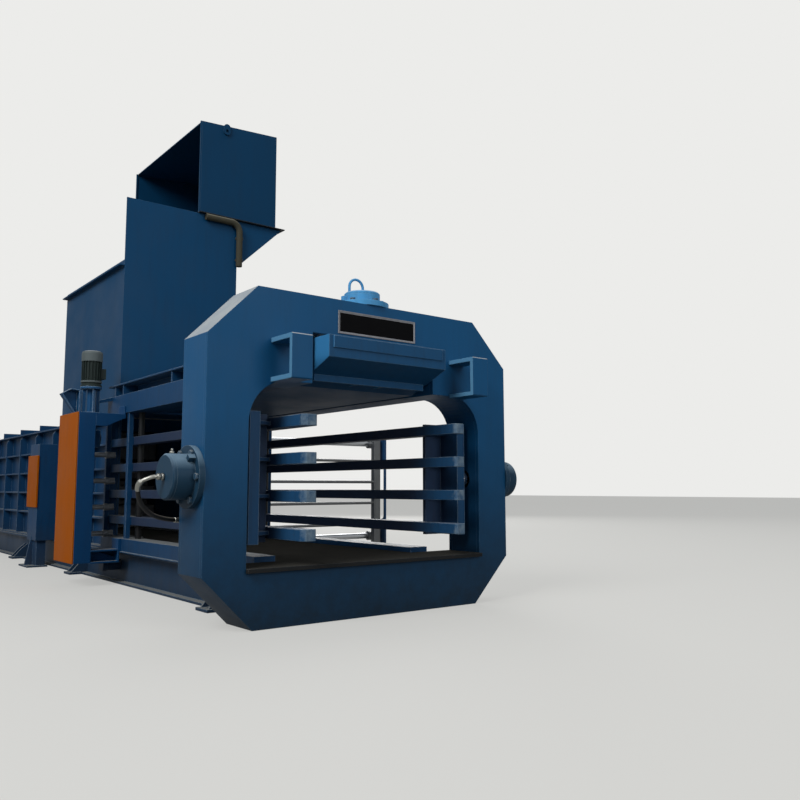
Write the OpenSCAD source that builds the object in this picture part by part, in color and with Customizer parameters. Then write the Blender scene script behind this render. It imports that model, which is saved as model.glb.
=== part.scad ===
// Horizontal channel baler with a clamp portal, a slotted pressing ram and a four-wire tie unit.
// The origin is on the floor under the middle of the portal; +X is the way the bale leaves.
// The near side, with the tie unit, is at -Y; heights are measured from the floor.

/* [Bale channel] */
// Width of the channel between its side walls
channel_width = 1100; // [1000:10:1200]
// Height of the channel above its floor
channel_height = 1107; // [1090:1:1130]
// Height of the channel floor
floor_top = 350; // [340:1:360]
// Thickness of the floor plate
floor_plate = 25; // [15:1:30]
// Thickness of the side walls
wall_plate = 20; // [12:1:25]
// Where the steel floor lip ends in front of the portal
lip_reach = 30; // [10:1:60]

/* [Portal] */
// Overall width of the portal
portal_width = 2380; // [2300:10:2460]
// Overall height of the portal
portal_height = 2006; // [1980:1:2060]
// Depth of the portal along the channel
portal_depth = 320; // [280:1:360]
// Leg of the cut corners
portal_chamfer = 316; // [260:1:340]
// Thickness of the front and rear plates
portal_plate = 30; // [20:1:40]
// Thickness of the outer wrap and of the inner liner
wrap_plate = 25; // [16:1:30]
// Width of the lower opening, where the side doors stand
opening_width = 1840; // [1800:10:1880]
// Height of the shoulders of the opening
shoulder_z = 1450; // [1440:1:1456]
// Radius of the upper corners of the opening
shoulder_radius = 260; // [200:5:280]
// Width of the upper notch, where the top door stands
notch_width = 980; // [970:1:1020]
// Height of the roof of the notch
notch_top = 1770; // [1765:1:1790]

/* [Shoulder brackets] */
// How far the brackets stand out of the front plate
bracket_reach = 245; // [150:5:260]
// Height of the brackets
bracket_height = 265; // [200:5:290]
// Lower face of the brackets
bracket_bottom = 1435; // [1430:1:1460]
// Width of the brackets
bracket_width = 140; // [100:5:145]
// Distance of their outer edge from the centre line
bracket_edge = 782; // [770:1:800]
// Thickness of their plates
bracket_plate = 28; // [20:1:36]

/* [Side doors] */
// Number of beams in a door
beam_count = 4; // [4:1:4]
// Height of a beam
beam_height = 68; // [56:1:80]
// Depth of a beam across the channel
beam_depth = 100; // [80:5:110]
// Distance between the beams
beam_pitch = 225; // [215:1:228]
// Height of the lowest beam's middle
first_beam_z = 534; // [530:1:540]
// Where the beams end in front of the portal's middle
beam_front = 325; // [260:5:350]
// Where the doors are hinged, behind the portal's middle
hinge_back = 2380; // [2300:10:2400]
// Radius of the hinge pins
hinge_pin_r = 25; // [20:1:30]
// Size of the yoke's press bar along the channel
press_bar_length = 150; // [140:1:180]
// Thickness of the yoke's press bar
press_bar_depth = 70; // [50:1:75]
// Gap between the press bar's outer face and the portal's liner
press_bar_gap = 55; // [45:1:60]
// How far the yoke reaches past the outer beams
yoke_overhang = 24; // [10:1:30]
// Thickness of the yoke's webs
yoke_plate = 30; // [20:1:40]

/* [Top door] */
// Width of the top door
lid_width = 940; // [920:1:950]
// Height of its cheeks above the pressure plate's underside
lid_height = 283; // [275:1:287]
// Thickness of the cheeks
cheek_plate = 25; // [15:1:30]
// How far the nose stands out in front of the portal's middle
lid_front = 317; // [290:1:340]
// Length of the bevel under the nose
nose_bevel_length = 362; // [300:1:380]
// Rise of the bevel under the nose
nose_bevel_rise = 145; // [120:1:160]
// Height of the door's hinge pin
lid_hinge_z = 1600; // [1580:1:1620]
// Thickness of the pressure plate and the front plate
lid_plate = 20; // [12:1:25]

/* [Clamp cylinders] */
// Radius of the mounting flange
clamp_flange_r = 180; // [176:1:186]
// Thickness of the mounting flange
clamp_flange_t = 35; // [28:1:45]
// Radius of the barrel outside the portal
clamp_barrel_r = 131; // [124:1:134]
// Length of the barrel outside the flange
clamp_barrel_length = 105; // [95:1:120]
// Thickness of the end cap
clamp_cap_t = 25; // [20:1:35]
// Radius of the barrel inside the portal
clamp_body_r = 105; // [95:1:110]
// Radius of the bore
clamp_bore_r = 80; // [70:1:85]
// Radius of the rod
clamp_rod_r = 45; // [35:1:50]
// Radius of the rod's domed pad
clamp_pad_r = 62; // [55:1:65]
// Radius of the pad's dome
pad_dome_r = 300; // [250:10:400]
// Number of flange bolts
clamp_bolts = 6; // [6:2:8]
// Radius of the circle of flange bolts
clamp_bolt_circle = 151; // [150:1:156]
// Radius of a flange bolt's head over its corners
clamp_bolt_r = 20; // [16:1:21]
// Radius of the oil port and of the fitting in it
port_r = 13; // [10:1:15]

/* [Hose] */
// Radius of the hose
hose_r = 13; // [10:1:15]

/* [Feed chamber and hopper] */
// Where the feed opening starts, behind the portal's middle
feed_front = 3020; // [3010:5:3060]
// Length of the feed opening
feed_length = 1810; // [1750:10:1820]
// Width of the chute outside
chute_width = 1150; // [1120:5:1160]
// Thickness of the chute's sheet
chute_sheet = 10; // [6:1:14]
// Height of the seam between chute and hood
seam_z = 3556; // [3500:2:3600]
// Height at which the far wall starts to flare
flare_z = 3068; // [3000:2:3100]
// How far the flare leans out
flare_out = 515; // [480:5:530]
// Height of the chute's near wall
near_wall_top = 2950; // [2900:10:3000]
// Height of the hood's top at its far side
hood_top = 4590; // [4450:10:4620]
// How much lower the hood's top is at its near edge
hood_fall = 62; // [40:1:90]
// Distance of the hood's near edge from the centre line
hood_near = 162; // [140:1:170]
// Distance of the hood's far wall from the centre line
hood_far = 1020; // [1000:5:1040]
// Size of the seam angle
seam_angle = 45; // [30:1:60]
// Radius of the bent conduit on the hopper
conduit_r = 32; // [20:1:36]

/* [Ram] */
// Where the ram's face rests, behind the portal's middle
ram_back = 4940; // [4900:5:4960]
// Stroke of the ram
ram_stroke = 2350; // [2330:5:2360]
// Length of the slotted head
head_length = 260; // [250:5:280]
// Depth of the needle slots
slot_depth = 230; // [222:1:235]
// Height of the needle slots
slot_height = 70; // [50:1:90]
// Length of the hollow body behind the head
body_length = 2040; // [2000:10:2100]
// Thickness of the body's plates
ram_plate = 25; // [15:1:35]
// Running gap on each side of the ram
ram_gap = 10; // [8:1:15]

/* [Main cylinder] */
// Radius of the bore
main_bore_r = 140; // [120:1:145]
// Thickness of the barrel's wall
main_wall = 20; // [15:1:30]
// Radius of the rod
main_rod_r = 100; // [80:1:110]
// Height of the cylinder's axis
main_axis_z = 900; // [880:1:920]
// Distance from the ram head to the gland's face at rest
gland_gap = 200; // [180:5:220]

/* [Frame] */
// Height of the skids
skid_height = 270; // [260:1:275]
// Width of the skids' flanges
skid_flange = 140; // [120:1:150]
// Thickness of the skids' flanges and webs
skid_plate = 18; // [12:1:22]
// Height of the cross members below the floor
cross_height = 145; // [120:1:160]
// Distance between the cross members
cross_pitch = 740; // [680:10:800]
// Outer distance of the side beams from the centre line
side_beam_face = 700; // [690:1:710]
// Height of the upper side beam's box
upper_beam_height = 165; // [150:1:175]
// Height of the upper side beam's thin top flange
ledge_z = 1708; // [1700:1:1715]
// Thickness of that flange
ledge_plate = 12; // [8:1:16]
// Top of the lower side beam
lower_beam_top = 385; // [380:1:392]

/* [Tie unit] */
// Distance of the wire plane behind the portal's middle
wire_back = 2740; // [2720:5:2750]
// Length of the gear case along the channel
case_length = 510; // [500:5:520]
// Front face of the gear case, behind the portal's middle
case_front = 2490; // [2485:5:2495]
// Outer distance of the gear case from the centre line
case_face = 1100; // [1090:1:1110]
// Width of the gear case
case_width = 150; // [140:1:160]
// Bottom of the gear case
case_bottom = 195; // [180:1:210]
// Top of the gear case
case_top = 1440; // [1430:1:1450]
// Thickness of the case's plates
case_plate = 12; // [8:1:14]
// Teeth of a twister gear
gear_teeth = 25; // [25:1:25]
// Teeth of the drive pinion
pinion_teeth = 15; // [15:1:15]
// Face width of the gears
gear_face = 40; // [30:1:45]
// Radius of the twister spindles
spindle_r = 22; // [18:1:24]
// Direction from the top gear to the pinion, from the level, in degrees
mesh_angle = 127.7; // [120:0.1:135]
// Radius of the motor's body
motor_r = 85; // [75:1:90]
// Height of the motor's base
motor_z = 1695; // [1685:1:1705]
// Height of the motor's flange and end shield
motor_shield = 50; // [40:1:60]
// Height of the motor's finned body
motor_body = 175; // [160:1:200]
// Height of the motor's fan cowl
motor_cowl = 92; // [80:1:100]

/* [Needles] */
// Radius of a needle
needle_r = 15; // [12:1:18]
// Stroke of the needles
needle_stroke = 1370; // [1360:1:1375]
// Radius of the rails
rail_r = 30; // [25:1:35]

/* [Hidden] */
$fn = 64;

// Running clearances: between round parts that turn, and between faces that slide
turn_gap = 0.06;
slide_gap = 0.5;
// Gap between a clamp rod's pad and the door that it presses
pad_gap = 0.6;
// Loose clearance round parts that only pass through a plate
pass_gap = 3;

half_channel = channel_width / 2;
roof_z = floor_top + channel_height;
half_depth = portal_depth / 2;
half_portal = portal_width / 2;
half_opening = opening_width / 2;
half_notch = notch_width / 2;
side_face = half_channel + beam_depth;
press_bar_face = half_opening - press_bar_gap;
top_beam_z = first_beam_z + (beam_count - 1) * beam_pitch;
clamp_z = (first_beam_z + top_beam_z) / 2;
hinge_x = -hinge_back;
pin_y = half_channel + beam_depth / 2;
feed_back = feed_front + feed_length;
frame_back = ram_back + head_length + body_length + 1140;
needle_x = -wire_back;
function wire_z(i) = first_beam_z - beam_pitch / 2 + i * beam_pitch;

blue = "#22527c";
side_blue = "#2a5f93";
pale_blue = "#5a9fd0";
barrel_blue = "#56789a";
orange = "#d9781a";
steel = "#8d9094";
rust = "#6b5646";
brass = "#b08d4a";
black = "#1d1e20";

// A box between two corners
module block(low, high) {
    translate(low) cube(high - low);
}

// A profile in Y and Z, drawn along +X from x
module along_x(x, length) {
    translate([x, 0, 0]) rotate([90, 0, 90]) linear_extrude(length) children();
}

// A profile in X and Z, drawn along +Y from y
module along_y(y, length) {
    translate([0, y + length, 0]) rotate([90, 0, 0]) linear_extrude(length) children();
}

// Its children and their mirror image across the machine's centre plane
module both_sides() {
    children();
    mirror([0, 1, 0]) children();
}

// A round bar along Y, from y to y + length
module bar_y(x, y, z, r, length) {
    translate([x, y, z]) rotate([-90, 0, 0]) cylinder(r = r, h = length);
}

// A round bar along X, from x to x + length
module bar_x(x, y, z, r, length) {
    translate([x, y, z]) rotate([0, 90, 0]) cylinder(r = r, h = length);
}

// Portal: a welded octagonal box frame of plates
module octagon_outline(inset = 0) {
    w = half_portal - inset;
    h = portal_height - inset;
    c = portal_chamfer - inset * 0.4142;
    polygon([
        [-w + c, inset], [w - c, inset], [w, inset + c], [w, h - c],
        [w - c, h], [-w + c, h], [-w, h - c], [-w, inset + c]
    ]);
}

module opening_outline(grow = 0) {
    half = half_opening + grow;
    radius = shoulder_radius + grow;
    arc_y = half_opening - shoulder_radius;
    arc_z = shoulder_z - shoulder_radius;
    arc = [for (a = [0:7.5:90]) [arc_y + radius * cos(a), arc_z + radius * sin(a)]];
    low = floor_top - floor_plate - grow;
    right = concat(
        [[half, low]],
        arc,
        [[half_notch + grow, shoulder_z + grow], [half_notch + grow, notch_top + grow]]
    );
    left = [for (i = [len(right) - 1:-1:0]) [-right[i][0], right[i][1]]];
    polygon(concat(right, left));
}

module shoulder_bracket() {
    low = bracket_bottom;
    high = bracket_bottom + bracket_height;
    rear = half_depth;
    front = half_depth + bracket_reach;
    along_y(-bracket_edge, bracket_width) difference() {
        polygon([
            [rear, low], [front - 6, low], [front, low + 6], [front, high - 6], [front - 6, high], [rear, high]
        ]);
        polygon([
            [rear - 1, low + bracket_plate], [front - bracket_plate, low + bracket_plate],
            [front - bracket_plate, high - bracket_plate], [rear - 1, high - bracket_plate]
        ]);
    }
}

module portal_front_plate() {
    color(blue) {
        along_x(half_depth - portal_plate, portal_plate) difference() {
            octagon_outline();
            opening_outline();
        }
        both_sides() shoulder_bracket();
    }
}

module portal_rear_plate() {
    color(blue) along_x(-half_depth, portal_plate) difference() {
        octagon_outline();
        opening_outline();
    }
}

module portal_wrap() {
    color(side_blue) difference() {
        along_x(-half_depth + portal_plate, portal_depth - 2 * portal_plate) difference() {
            octagon_outline();
            octagon_outline(wrap_plate);
        }
        both_sides() bar_y(0, -half_portal - 1, clamp_z, clamp_body_r + 1, wrap_plate + 2);
        translate([0, 0, portal_height - wrap_plate - 1]) cylinder(r = clamp_body_r + 1, h = wrap_plate + 2);
    }
}

module portal_liner() {
    color(blue) difference() {
        along_x(-half_depth + portal_plate, portal_depth - 2 * portal_plate) difference() {
            opening_outline(wrap_plate);
            opening_outline();
        }
        both_sides() bar_y(0, -half_opening - wrap_plate - 1, clamp_z, clamp_pad_r + pass_gap, wrap_plate + 2);
        translate([0, 0, notch_top - 1]) cylinder(r = clamp_pad_r + pass_gap, h = wrap_plate + 2);
    }
}

// Base frame: two skids tied by cross members, with bolted-down foot lugs
foot_reach = 110;
foot_plate = 20;
foot_hole_r = 14;
foot_hole_pitch = 2200;
skid_y = side_face - 40;
foot_hole_y = skid_y + skid_flange / 2 + foot_reach / 2;
foot_x = [-frame_back + 300, -frame_back + 300 + foot_hole_pitch, -frame_back + 300 + 2 * foot_hole_pitch, -700];
needle_cylinder_z = 150;
needle_barrel_r = 45;
needle_barrel_bore = 32;

module skid() {
    y = -skid_y;
    z = skid_height;
    t = skid_plate;
    flange = skid_flange / 2;
    difference() {
        along_x(-frame_back, frame_back - half_depth) polygon([
            [y - flange, 0], [y + flange, 0], [y + flange, t], [y + t / 2, t],
            [y + t / 2, z - t], [y + flange, z - t], [y + flange, z], [y - flange, z],
            [y - flange, z - t], [y - t / 2, z - t], [y - t / 2, t], [y - flange, t]
        ]);
        bar_y(needle_x, y - flange, needle_cylinder_z, needle_barrel_r + 0.3, skid_flange);
    }
}

module foot_lug(x) {
    y = -skid_y - skid_flange / 2;
    difference() {
        block([x - 90, y - foot_reach, 0], [x + 90, y, foot_plate]);
        translate([x, -foot_hole_y, -1]) cylinder(r = foot_hole_r, h = foot_plate + 2);
    }
    web = -skid_y - skid_plate / 2;
    for (side = [-66, 50]) along_x(x + side, 16) polygon([
        [y - foot_reach + 20, foot_plate - 1], [y - 1, foot_plate - 1], [y - 1, skid_plate],
        [web, skid_plate], [web, 170], [y - 12, 110]
    ]);
}

module foot_lugs() {
    color(blue) both_sides() for (x = foot_x) foot_lug(x);
}

module cross_member(x) {
    low = floor_top - floor_plate - cross_height;
    top = floor_top - floor_plate;
    reach = side_face - 40;
    along_y(-reach, 2 * reach) polygon([
        [x - 50, low], [x + 50, low], [x + 50, low + 12], [x + 6, low + 12], [x + 6, top - 12],
        [x + 50, top - 12], [x + 50, top], [x - 50, top], [x - 50, top - 12], [x - 6, top - 12],
        [x - 6, low + 12], [x - 50, low + 12]
    ]);
}

module base_frame() {
    behind = floor((frame_back - wire_back - 60) / cross_pitch - 0.5);
    ahead = floor((wire_back - half_depth - 160) / cross_pitch - 0.5);
    color(blue) {
        both_sides() skid();
        difference() {
            union() {
                for (i = [-behind:ahead]) cross_member(needle_x + (i + (i < 0 ? -0.5 : 0.5)) * cross_pitch);
                cross_member(-half_depth - 60);
            }
            both_sides() block([-frame_back - 1, -side_face - 60, skid_height], [0, -half_channel, floor_top]);
        }
    }
}

// Channel: floor, ladder-like sides and roof ahead of the chute
module channel_floor() {
    back = frame_back;
    front = half_depth + lip_reach;
    wide = half_opening - slide_gap;
    narrow = half_channel - slide_gap;
    color(steel) translate([0, 0, floor_top - floor_plate]) linear_extrude(floor_plate) polygon([
        [-back, -narrow], [-half_depth, -narrow], [-half_depth, -wide], [front, -wide],
        [front, wide], [-half_depth, wide], [-half_depth, narrow], [-back, narrow]
    ]);
}

comb_back = feed_front;
comb_front = hinge_back + 55;
upper_beam_low = roof_z - ram_gap / 2;
beam_flange = 15;

module upper_side_beam() {
    y0 = -side_beam_face;
    y1 = -half_notch;
    z0 = upper_beam_low;
    z1 = upper_beam_low + upper_beam_height;
    web = (y0 + y1) / 2 + 40;
    along_x(-feed_front + 60, feed_front - 60 - half_depth) difference() {
        polygon([
            [y0, z0], [y1, z0], [y1, z1], [web + 8, z1], [web + 8, ledge_z], [y1, ledge_z],
            [y1, ledge_z + ledge_plate], [y0, ledge_z + ledge_plate], [y0, ledge_z],
            [web - 8, ledge_z], [web - 8, z1], [y0, z1]
        ]);
        polygon([[y0 + 15, z0 + 15], [y1 - 15, z0 + 15], [y1 - 15, z1 - 15], [y0 + 15, z1 - 15]]);
    }
}

module lower_side_beam() {
    y0 = -side_beam_face;
    y1 = -half_channel;
    z0 = skid_height;
    z1 = lower_beam_top;
    along_x(-feed_front, feed_front - half_depth) polygon([
        [y0 - beam_flange, z0], [y1, z0], [y1, z1], [y0, z1], [y0, z0 + 10], [y0 - beam_flange, z0 + 10]
    ]);
}

module channel_side() {
    difference() {
        union() {
            upper_side_beam();
            lower_side_beam();
            for (i = [0:beam_count - 1]) {
                z = first_beam_z + i * beam_pitch;
                block([-comb_back, -side_face, z - beam_height / 2], [-comb_front, -half_channel, z + beam_height / 2]);
            }
            for (x = [-comb_back, -comb_front - 40])
                block([x, -side_face - 40, lower_beam_top - 1], [x + 40, -side_face, upper_beam_low + 1]);
            for (x = [-half_depth - 700, -half_depth - 1400, -half_depth - 2460, -half_depth - 2660])
                block([x, -side_beam_face + 10, ledge_z - 110], [x + 16, -half_notch - 20, ledge_z + 1]);
        }
        translate([hinge_x, -pin_y, lower_beam_top - 60]) cylinder(r = hinge_pin_r, h = roof_z - lower_beam_top + 140);
    }
}

module channel_side_near() {
    color(blue) channel_side();
}

module channel_side_far() {
    color(blue) mirror([0, 1, 0]) channel_side();
}

lid_half = lid_width / 2;
lid_lug_x = hinge_x - 20;

module channel_roof() {
    back = -feed_front + 60;
    front = lid_lug_x - 75;
    color(blue) difference() {
        union() {
            block([back, -half_notch, roof_z], [front, half_notch, roof_z + 25]);
            for (y = [-lid_half + 60, -10, lid_half - 80])
                along_y(y, 20) polygon([
                    [back, roof_z + 24], [lid_lug_x - 75, roof_z + 24], [lid_lug_x + 45, lid_hinge_z - 45],
                    [lid_lug_x + 45, lid_hinge_z + 45], [lid_lug_x - 45, lid_hinge_z + 45],
                    [back + 60, roof_z + 120], [back, roof_z + 120]
                ]);
            block([back, -half_notch, roof_z + 24], [back + 20, half_notch, roof_z + 120]);
        }
        bar_y(lid_lug_x, -lid_half, lid_hinge_z, hinge_pin_r, lid_width);
    }
}

// Side walls of the feed chamber and of the ram's guideway
rib_depth = 80;

module side_wall() {
    inner = -half_channel;
    outer = -half_channel - wall_plate;
    rib = outer - rib_depth;
    low = skid_height;
    color(blue) {
        block([-frame_back, outer, low], [-comb_back, inner, roof_z]);
        for (x = [-comb_back - 30, -comb_back - 640, -comb_back - 1250, -feed_back - 60, -feed_back - 760,
                  -feed_back - 1460, -feed_back - 2160, -feed_back - 2860, -frame_back + 20])
            along_x(x, 20) polygon([
                [outer + 0.5, low], [rib, low], [rib, roof_z - 60], [rib + 40, roof_z], [outer + 0.5, roof_z]
            ]);
        for (i = [0:beam_count - 1])
            block([-frame_back + 30, rib + 10, first_beam_z + i * beam_pitch - 8],
                  [-comb_back - 10, outer + 0.5, first_beam_z + i * beam_pitch + 8]);
        block([-frame_back, rib, roof_z - 14], [-comb_back, outer + 0.5, roof_z]);
        block([-frame_back, rib, low], [-comb_back, outer + 0.5, low + 14]);
    }
}

// A rectangle with rounded corners, its middle at the origin of the profile
module window_outline(width, height, radius) {
    w = width / 2 - radius;
    h = height / 2 - radius;
    hull() for (x = [-w, w], y = [-h, h]) translate([x, y]) circle(r = radius, $fn = 32);
}

module side_wall_near() {
    side_wall();
}

module side_wall_far() {
    mirror([0, 1, 0]) side_wall();
}

module chamber_roof() {
    wide = half_channel + wall_plate;
    color(blue) {
        block([-frame_back + 40, -wide, roof_z], [-feed_back, wide, roof_z + 16]);
        for (x = [-feed_back - 40, -feed_back - 900, -feed_back - 1800, -feed_back - 2700])
            block([x - 16, -wide, roof_z + 15], [x, wide, roof_z + 90]);
    }
}

// Ram rails: flat wear strips on the floor and upright strips on the walls
rail_strip = 10;

rail_start = 160;

module ram_rails() {
    back = crosshead_x + crosshead_depth + rail_start;
    front = -feed_front - 30;
    color(steel) {
        for (y = [-420, 300]) block([back, y, floor_top], [front, y + 120, floor_top + rail_strip]);
        both_sides() block([back, -half_channel, floor_top + 20], [front, -half_channel + ram_gap - slide_gap, floor_top + 110]);
    }
}

knife_gap = 2;
knife_height = 44;
knife_length = 110;

module fixed_knife() {
    low = roof_z - 6;
    color(steel) along_y(-half_channel + 1, channel_width - 2) polygon([
        [-feed_front, low + 12], [-feed_front + 12, low], [-feed_front + 60, low],
        [-feed_front + 60, low + knife_height], [-feed_front, low + knife_height]
    ]);
}

// Main cylinder and the crosshead that takes its thrust
main_barrel_r = main_bore_r + main_wall;
head_rear_x = -ram_back - head_length;
gland_x = head_rear_x - gland_gap;
gland_length = 90;
main_flange_t = 50;
crosshead_x = -frame_back + 60;
crosshead_depth = 240;
barrel_rear_x = crosshead_x - 100;

module rear_crosshead() {
    wide = half_channel;
    low = floor_top;
    high = roof_z - 30;
    color(blue) {
        for (x = [crosshead_x, crosshead_x + crosshead_depth - 40])
            along_x(x, 40) difference() {
                polygon([[-wide, low], [wide, low], [wide, high], [-wide, high]]);
                translate([0, main_axis_z]) circle(r = main_barrel_r + 0.5);
            }
        for (a = [0:45:315]) {
            translate([crosshead_x + 39, 0, main_axis_z]) rotate([a, 0, 0])
                translate([0, main_barrel_r + 40, -10]) cube([crosshead_depth - 78, 200, 20]);
        }
    }
}

module main_barrel() {
    color(blue) difference() {
        union() {
            bar_x(barrel_rear_x, 0, main_axis_z, main_barrel_r, gland_x - gland_length - barrel_rear_x);
            bar_x(crosshead_x + crosshead_depth, 0, main_axis_z, main_barrel_r + 70, main_flange_t);
            bar_x(gland_x - gland_length - 60, 0, main_axis_z, main_barrel_r + 32, 60);
        }
        bar_x(barrel_rear_x - 1, 0, main_axis_z, main_bore_r, gland_x - barrel_rear_x + 2);
    }
}

module main_gland() {
    color(steel) difference() {
        bar_x(gland_x - gland_length, 0, main_axis_z, main_barrel_r + 32, gland_length);
        bar_x(gland_x - gland_length - 1, 0, main_axis_z, main_rod_r + turn_gap, gland_length + 2);
        for (a = [0:30:330])
            translate([gland_x - 16, 0, main_axis_z]) rotate([a, 0, 0]) bar_x(0, main_barrel_r + 6, 0, 13, 17);
    }
}

main_port_r = 21;

module main_rear_cap() {
    color(steel) difference() {
        union() {
            bar_x(barrel_rear_x - 70, 0, main_axis_z, main_barrel_r + 8, 70);
            bar_x(barrel_rear_x - 90, 0, main_axis_z, 60, 25);
        }
        bar_x(barrel_rear_x - 91, 0, main_axis_z, main_port_r, 92);
    }
}

// Hopper: a chute over the feed opening, flared on its far side, with a hood on the far half
module chute_outline(inset) {
    w = chute_width / 2 - inset;
    polygon([
        [-w, roof_z], [w, roof_z], [w, flare_z], [w + flare_out, seam_z], [-w, seam_z]
    ]);
}

module hopper_chute() {
    front = -feed_front;
    back = -feed_back;
    w = chute_width / 2;
    color(blue) {
        difference() {
            along_x(back, front - back) chute_outline(0);
            along_x(back + chute_sheet, front - back - 2 * chute_sheet) chute_outline(chute_sheet);
            block([back - 1, -w - 1, near_wall_top], [front - chute_sheet, -w + chute_sheet + 1, seam_z + 1]);
            block([back - 1, -w - 1, near_wall_top], [back + chute_sheet + 1, hood_near - 20, seam_z + 1]);
        }
        for (z = [roof_z + 8, near_wall_top - 60])
            block([back, -w - 50, z], [front, -w, z + 12]);
        both_sides() block([front - 0.5, -w, roof_z + 100], [front + 50, -w + 12, roof_z + 300]);
    }
}

module hopper_seam() {
    front = -feed_front;
    back = -feed_back;
    near = hood_near - 20;
    far = chute_width / 2 + flare_out - 24;
    t = seam_angle;
    color(black) difference() {
        union() {
            block([back - t, near, seam_z], [front + t, far + t, seam_z + 10]);
            block([back - 8, near, seam_z - t], [back, far, seam_z + 1]);
        }
        block([back + chute_sheet, near - 1, seam_z - 1], [front - chute_sheet, hood_far - chute_sheet, seam_z + 11]);
    }
}

module hood_outline(inset) {
    polygon([
        [hood_near - (inset > 0 ? 1 : 0), seam_z + 10 - (inset > 0 ? 1 : 0)],
        [hood_far - inset, seam_z + 10 - (inset > 0 ? 1 : 0)],
        [hood_far - inset, hood_top - inset], [hood_near - (inset > 0 ? 1 : 0), hood_top - hood_fall - inset]
    ]);
}

module hopper_hood() {
    front = -feed_front;
    back = -feed_back;
    lug_y = hood_near + 268;
    lug_z = hood_top - 88;
    color(blue) {
        difference() {
            along_x(back, front - back) hood_outline(0);
            along_x(back + chute_sheet, front - back - 2 * chute_sheet) hood_outline(chute_sheet);
        }
        for (x = [front - 20, back + 2])
            block([x + 0.5, hood_near - 14, seam_z + 10], [x + 18, hood_near, hood_top - hood_fall]);
        along_x(front - 1, 21) translate([lug_y, lug_z]) difference() {
            hull() for (h = [-20, 24]) translate([0, h]) circle(r = 36, $fn = 32);
            translate([0, -14]) circle(r = 17);
        }
    }
}

module hopper_conduit() {
    x = -feed_front + conduit_r + 8;
    y = chute_width / 2 + conduit_r - 26;
    z = seam_z - conduit_r - 3;
    start = hood_near + 48;
    bend = 95;
    color(rust) {
        bar_y(x, start, z, conduit_r, y - bend - start);
        translate([x, y - bend, z - bend]) rotate([90, 0, 90])
            rotate_extrude(angle = 90) translate([bend, 0]) circle(r = conduit_r);
        translate([x, y, flare_z]) cylinder(r = conduit_r, h = z - bend - flare_z);
        for (h = [flare_z + 60, z - bend - 70])
            block([-feed_front, y - conduit_r + 6, h], [x, y + conduit_r + 10, h + 24]);
    }
}

// Clamp cylinders, drawn upright with the flange's seat at the origin and the rod pointing down
body_gap = 30;
clamp_body_length = half_portal - half_opening - wrap_plate - body_gap;
piston_length = 60;
gland_depth = 30;
side_press_travel = 80;
top_press_travel = 92;
clamp_top = clamp_flange_t + clamp_barrel_length;

module clamp_barrel() {
    difference() {
        union() {
            cylinder(r = clamp_flange_r, h = clamp_flange_t);
            translate([0, 0, clamp_flange_t]) cylinder(r = clamp_barrel_r, h = clamp_barrel_length);
            translate([0, 0, -clamp_body_length]) cylinder(r = clamp_body_r, h = clamp_body_length + 1);
            for (a = [45, 225]) rotate([0, 0, a])
                translate([clamp_barrel_r - 8, -16, clamp_flange_t - 1]) cube([40, 32, 40]);
        }
        translate([0, 0, -clamp_body_length + gland_depth]) cylinder(r = clamp_bore_r, h = clamp_body_length + clamp_top);
        translate([0, 0, -clamp_body_length - 1]) cylinder(r = clamp_rod_r + turn_gap, h = 40);
    }
}

module clamp_cap() {
    difference() {
        translate([0, 0, clamp_top]) rotate_extrude() polygon([
            [0, 0], [clamp_barrel_r, 0], [clamp_barrel_r, clamp_cap_t - 10],
            [clamp_barrel_r - 10, clamp_cap_t], [0, clamp_cap_t]
        ]);
        translate([0, 0, clamp_top - 1]) cylinder(r = port_r, h = clamp_cap_t + 2);
    }
}

module clamp_bolt_ring() {
    for (i = [0:clamp_bolts - 1]) rotate([0, 0, i * 360 / clamp_bolts])
        translate([clamp_bolt_circle, 0, clamp_flange_t]) rotate([0, 0, 30])
            cylinder(r = clamp_bolt_r, h = 16, $fn = 6);
}

// Rod with piston and domed pad: reach is from the flange's seat to the dome's top
module clamp_rod(reach) {
    piston_low = -clamp_body_length + gland_depth + side_press_travel;
    edge = pad_dome_r - sqrt(pad_dome_r * pad_dome_r - clamp_pad_r * clamp_pad_r);
    color(steel) {
        translate([0, 0, piston_low]) cylinder(r = clamp_bore_r - turn_gap, h = piston_length);
        translate([0, 0, -reach + 30]) cylinder(r = clamp_rod_r, h = reach - 30 + piston_low + 1);
        translate([0, 0, -reach]) rotate_extrude() intersection() {
            translate([0, pad_dome_r]) circle(r = pad_dome_r, $fn = 180);
            polygon([[0, 0], [clamp_pad_r, 0], [clamp_pad_r, edge + 26], [0, edge + 26]]);
        }
    }
}

module at_near_clamp() {
    translate([0, -half_portal, clamp_z]) rotate([90, 0, 0]) children();
}

module at_top_clamp() {
    translate([0, 0, portal_height]) children();
}

side_rod_reach = half_portal - press_bar_face - pad_gap;
lid_press_z = roof_z + lid_height;
top_rod_reach = portal_height - lid_press_z - pad_gap;

module near_clamp_barrel() {
    color(barrel_blue) at_near_clamp() clamp_barrel();
}

module near_clamp_cap() {
    color(barrel_blue) at_near_clamp() clamp_cap();
}

module far_clamp_barrel() {
    color(barrel_blue) mirror([0, 1, 0]) at_near_clamp() clamp_barrel();
}

module far_clamp_cap() {
    color(barrel_blue) mirror([0, 1, 0]) at_near_clamp() clamp_cap();
}

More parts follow.
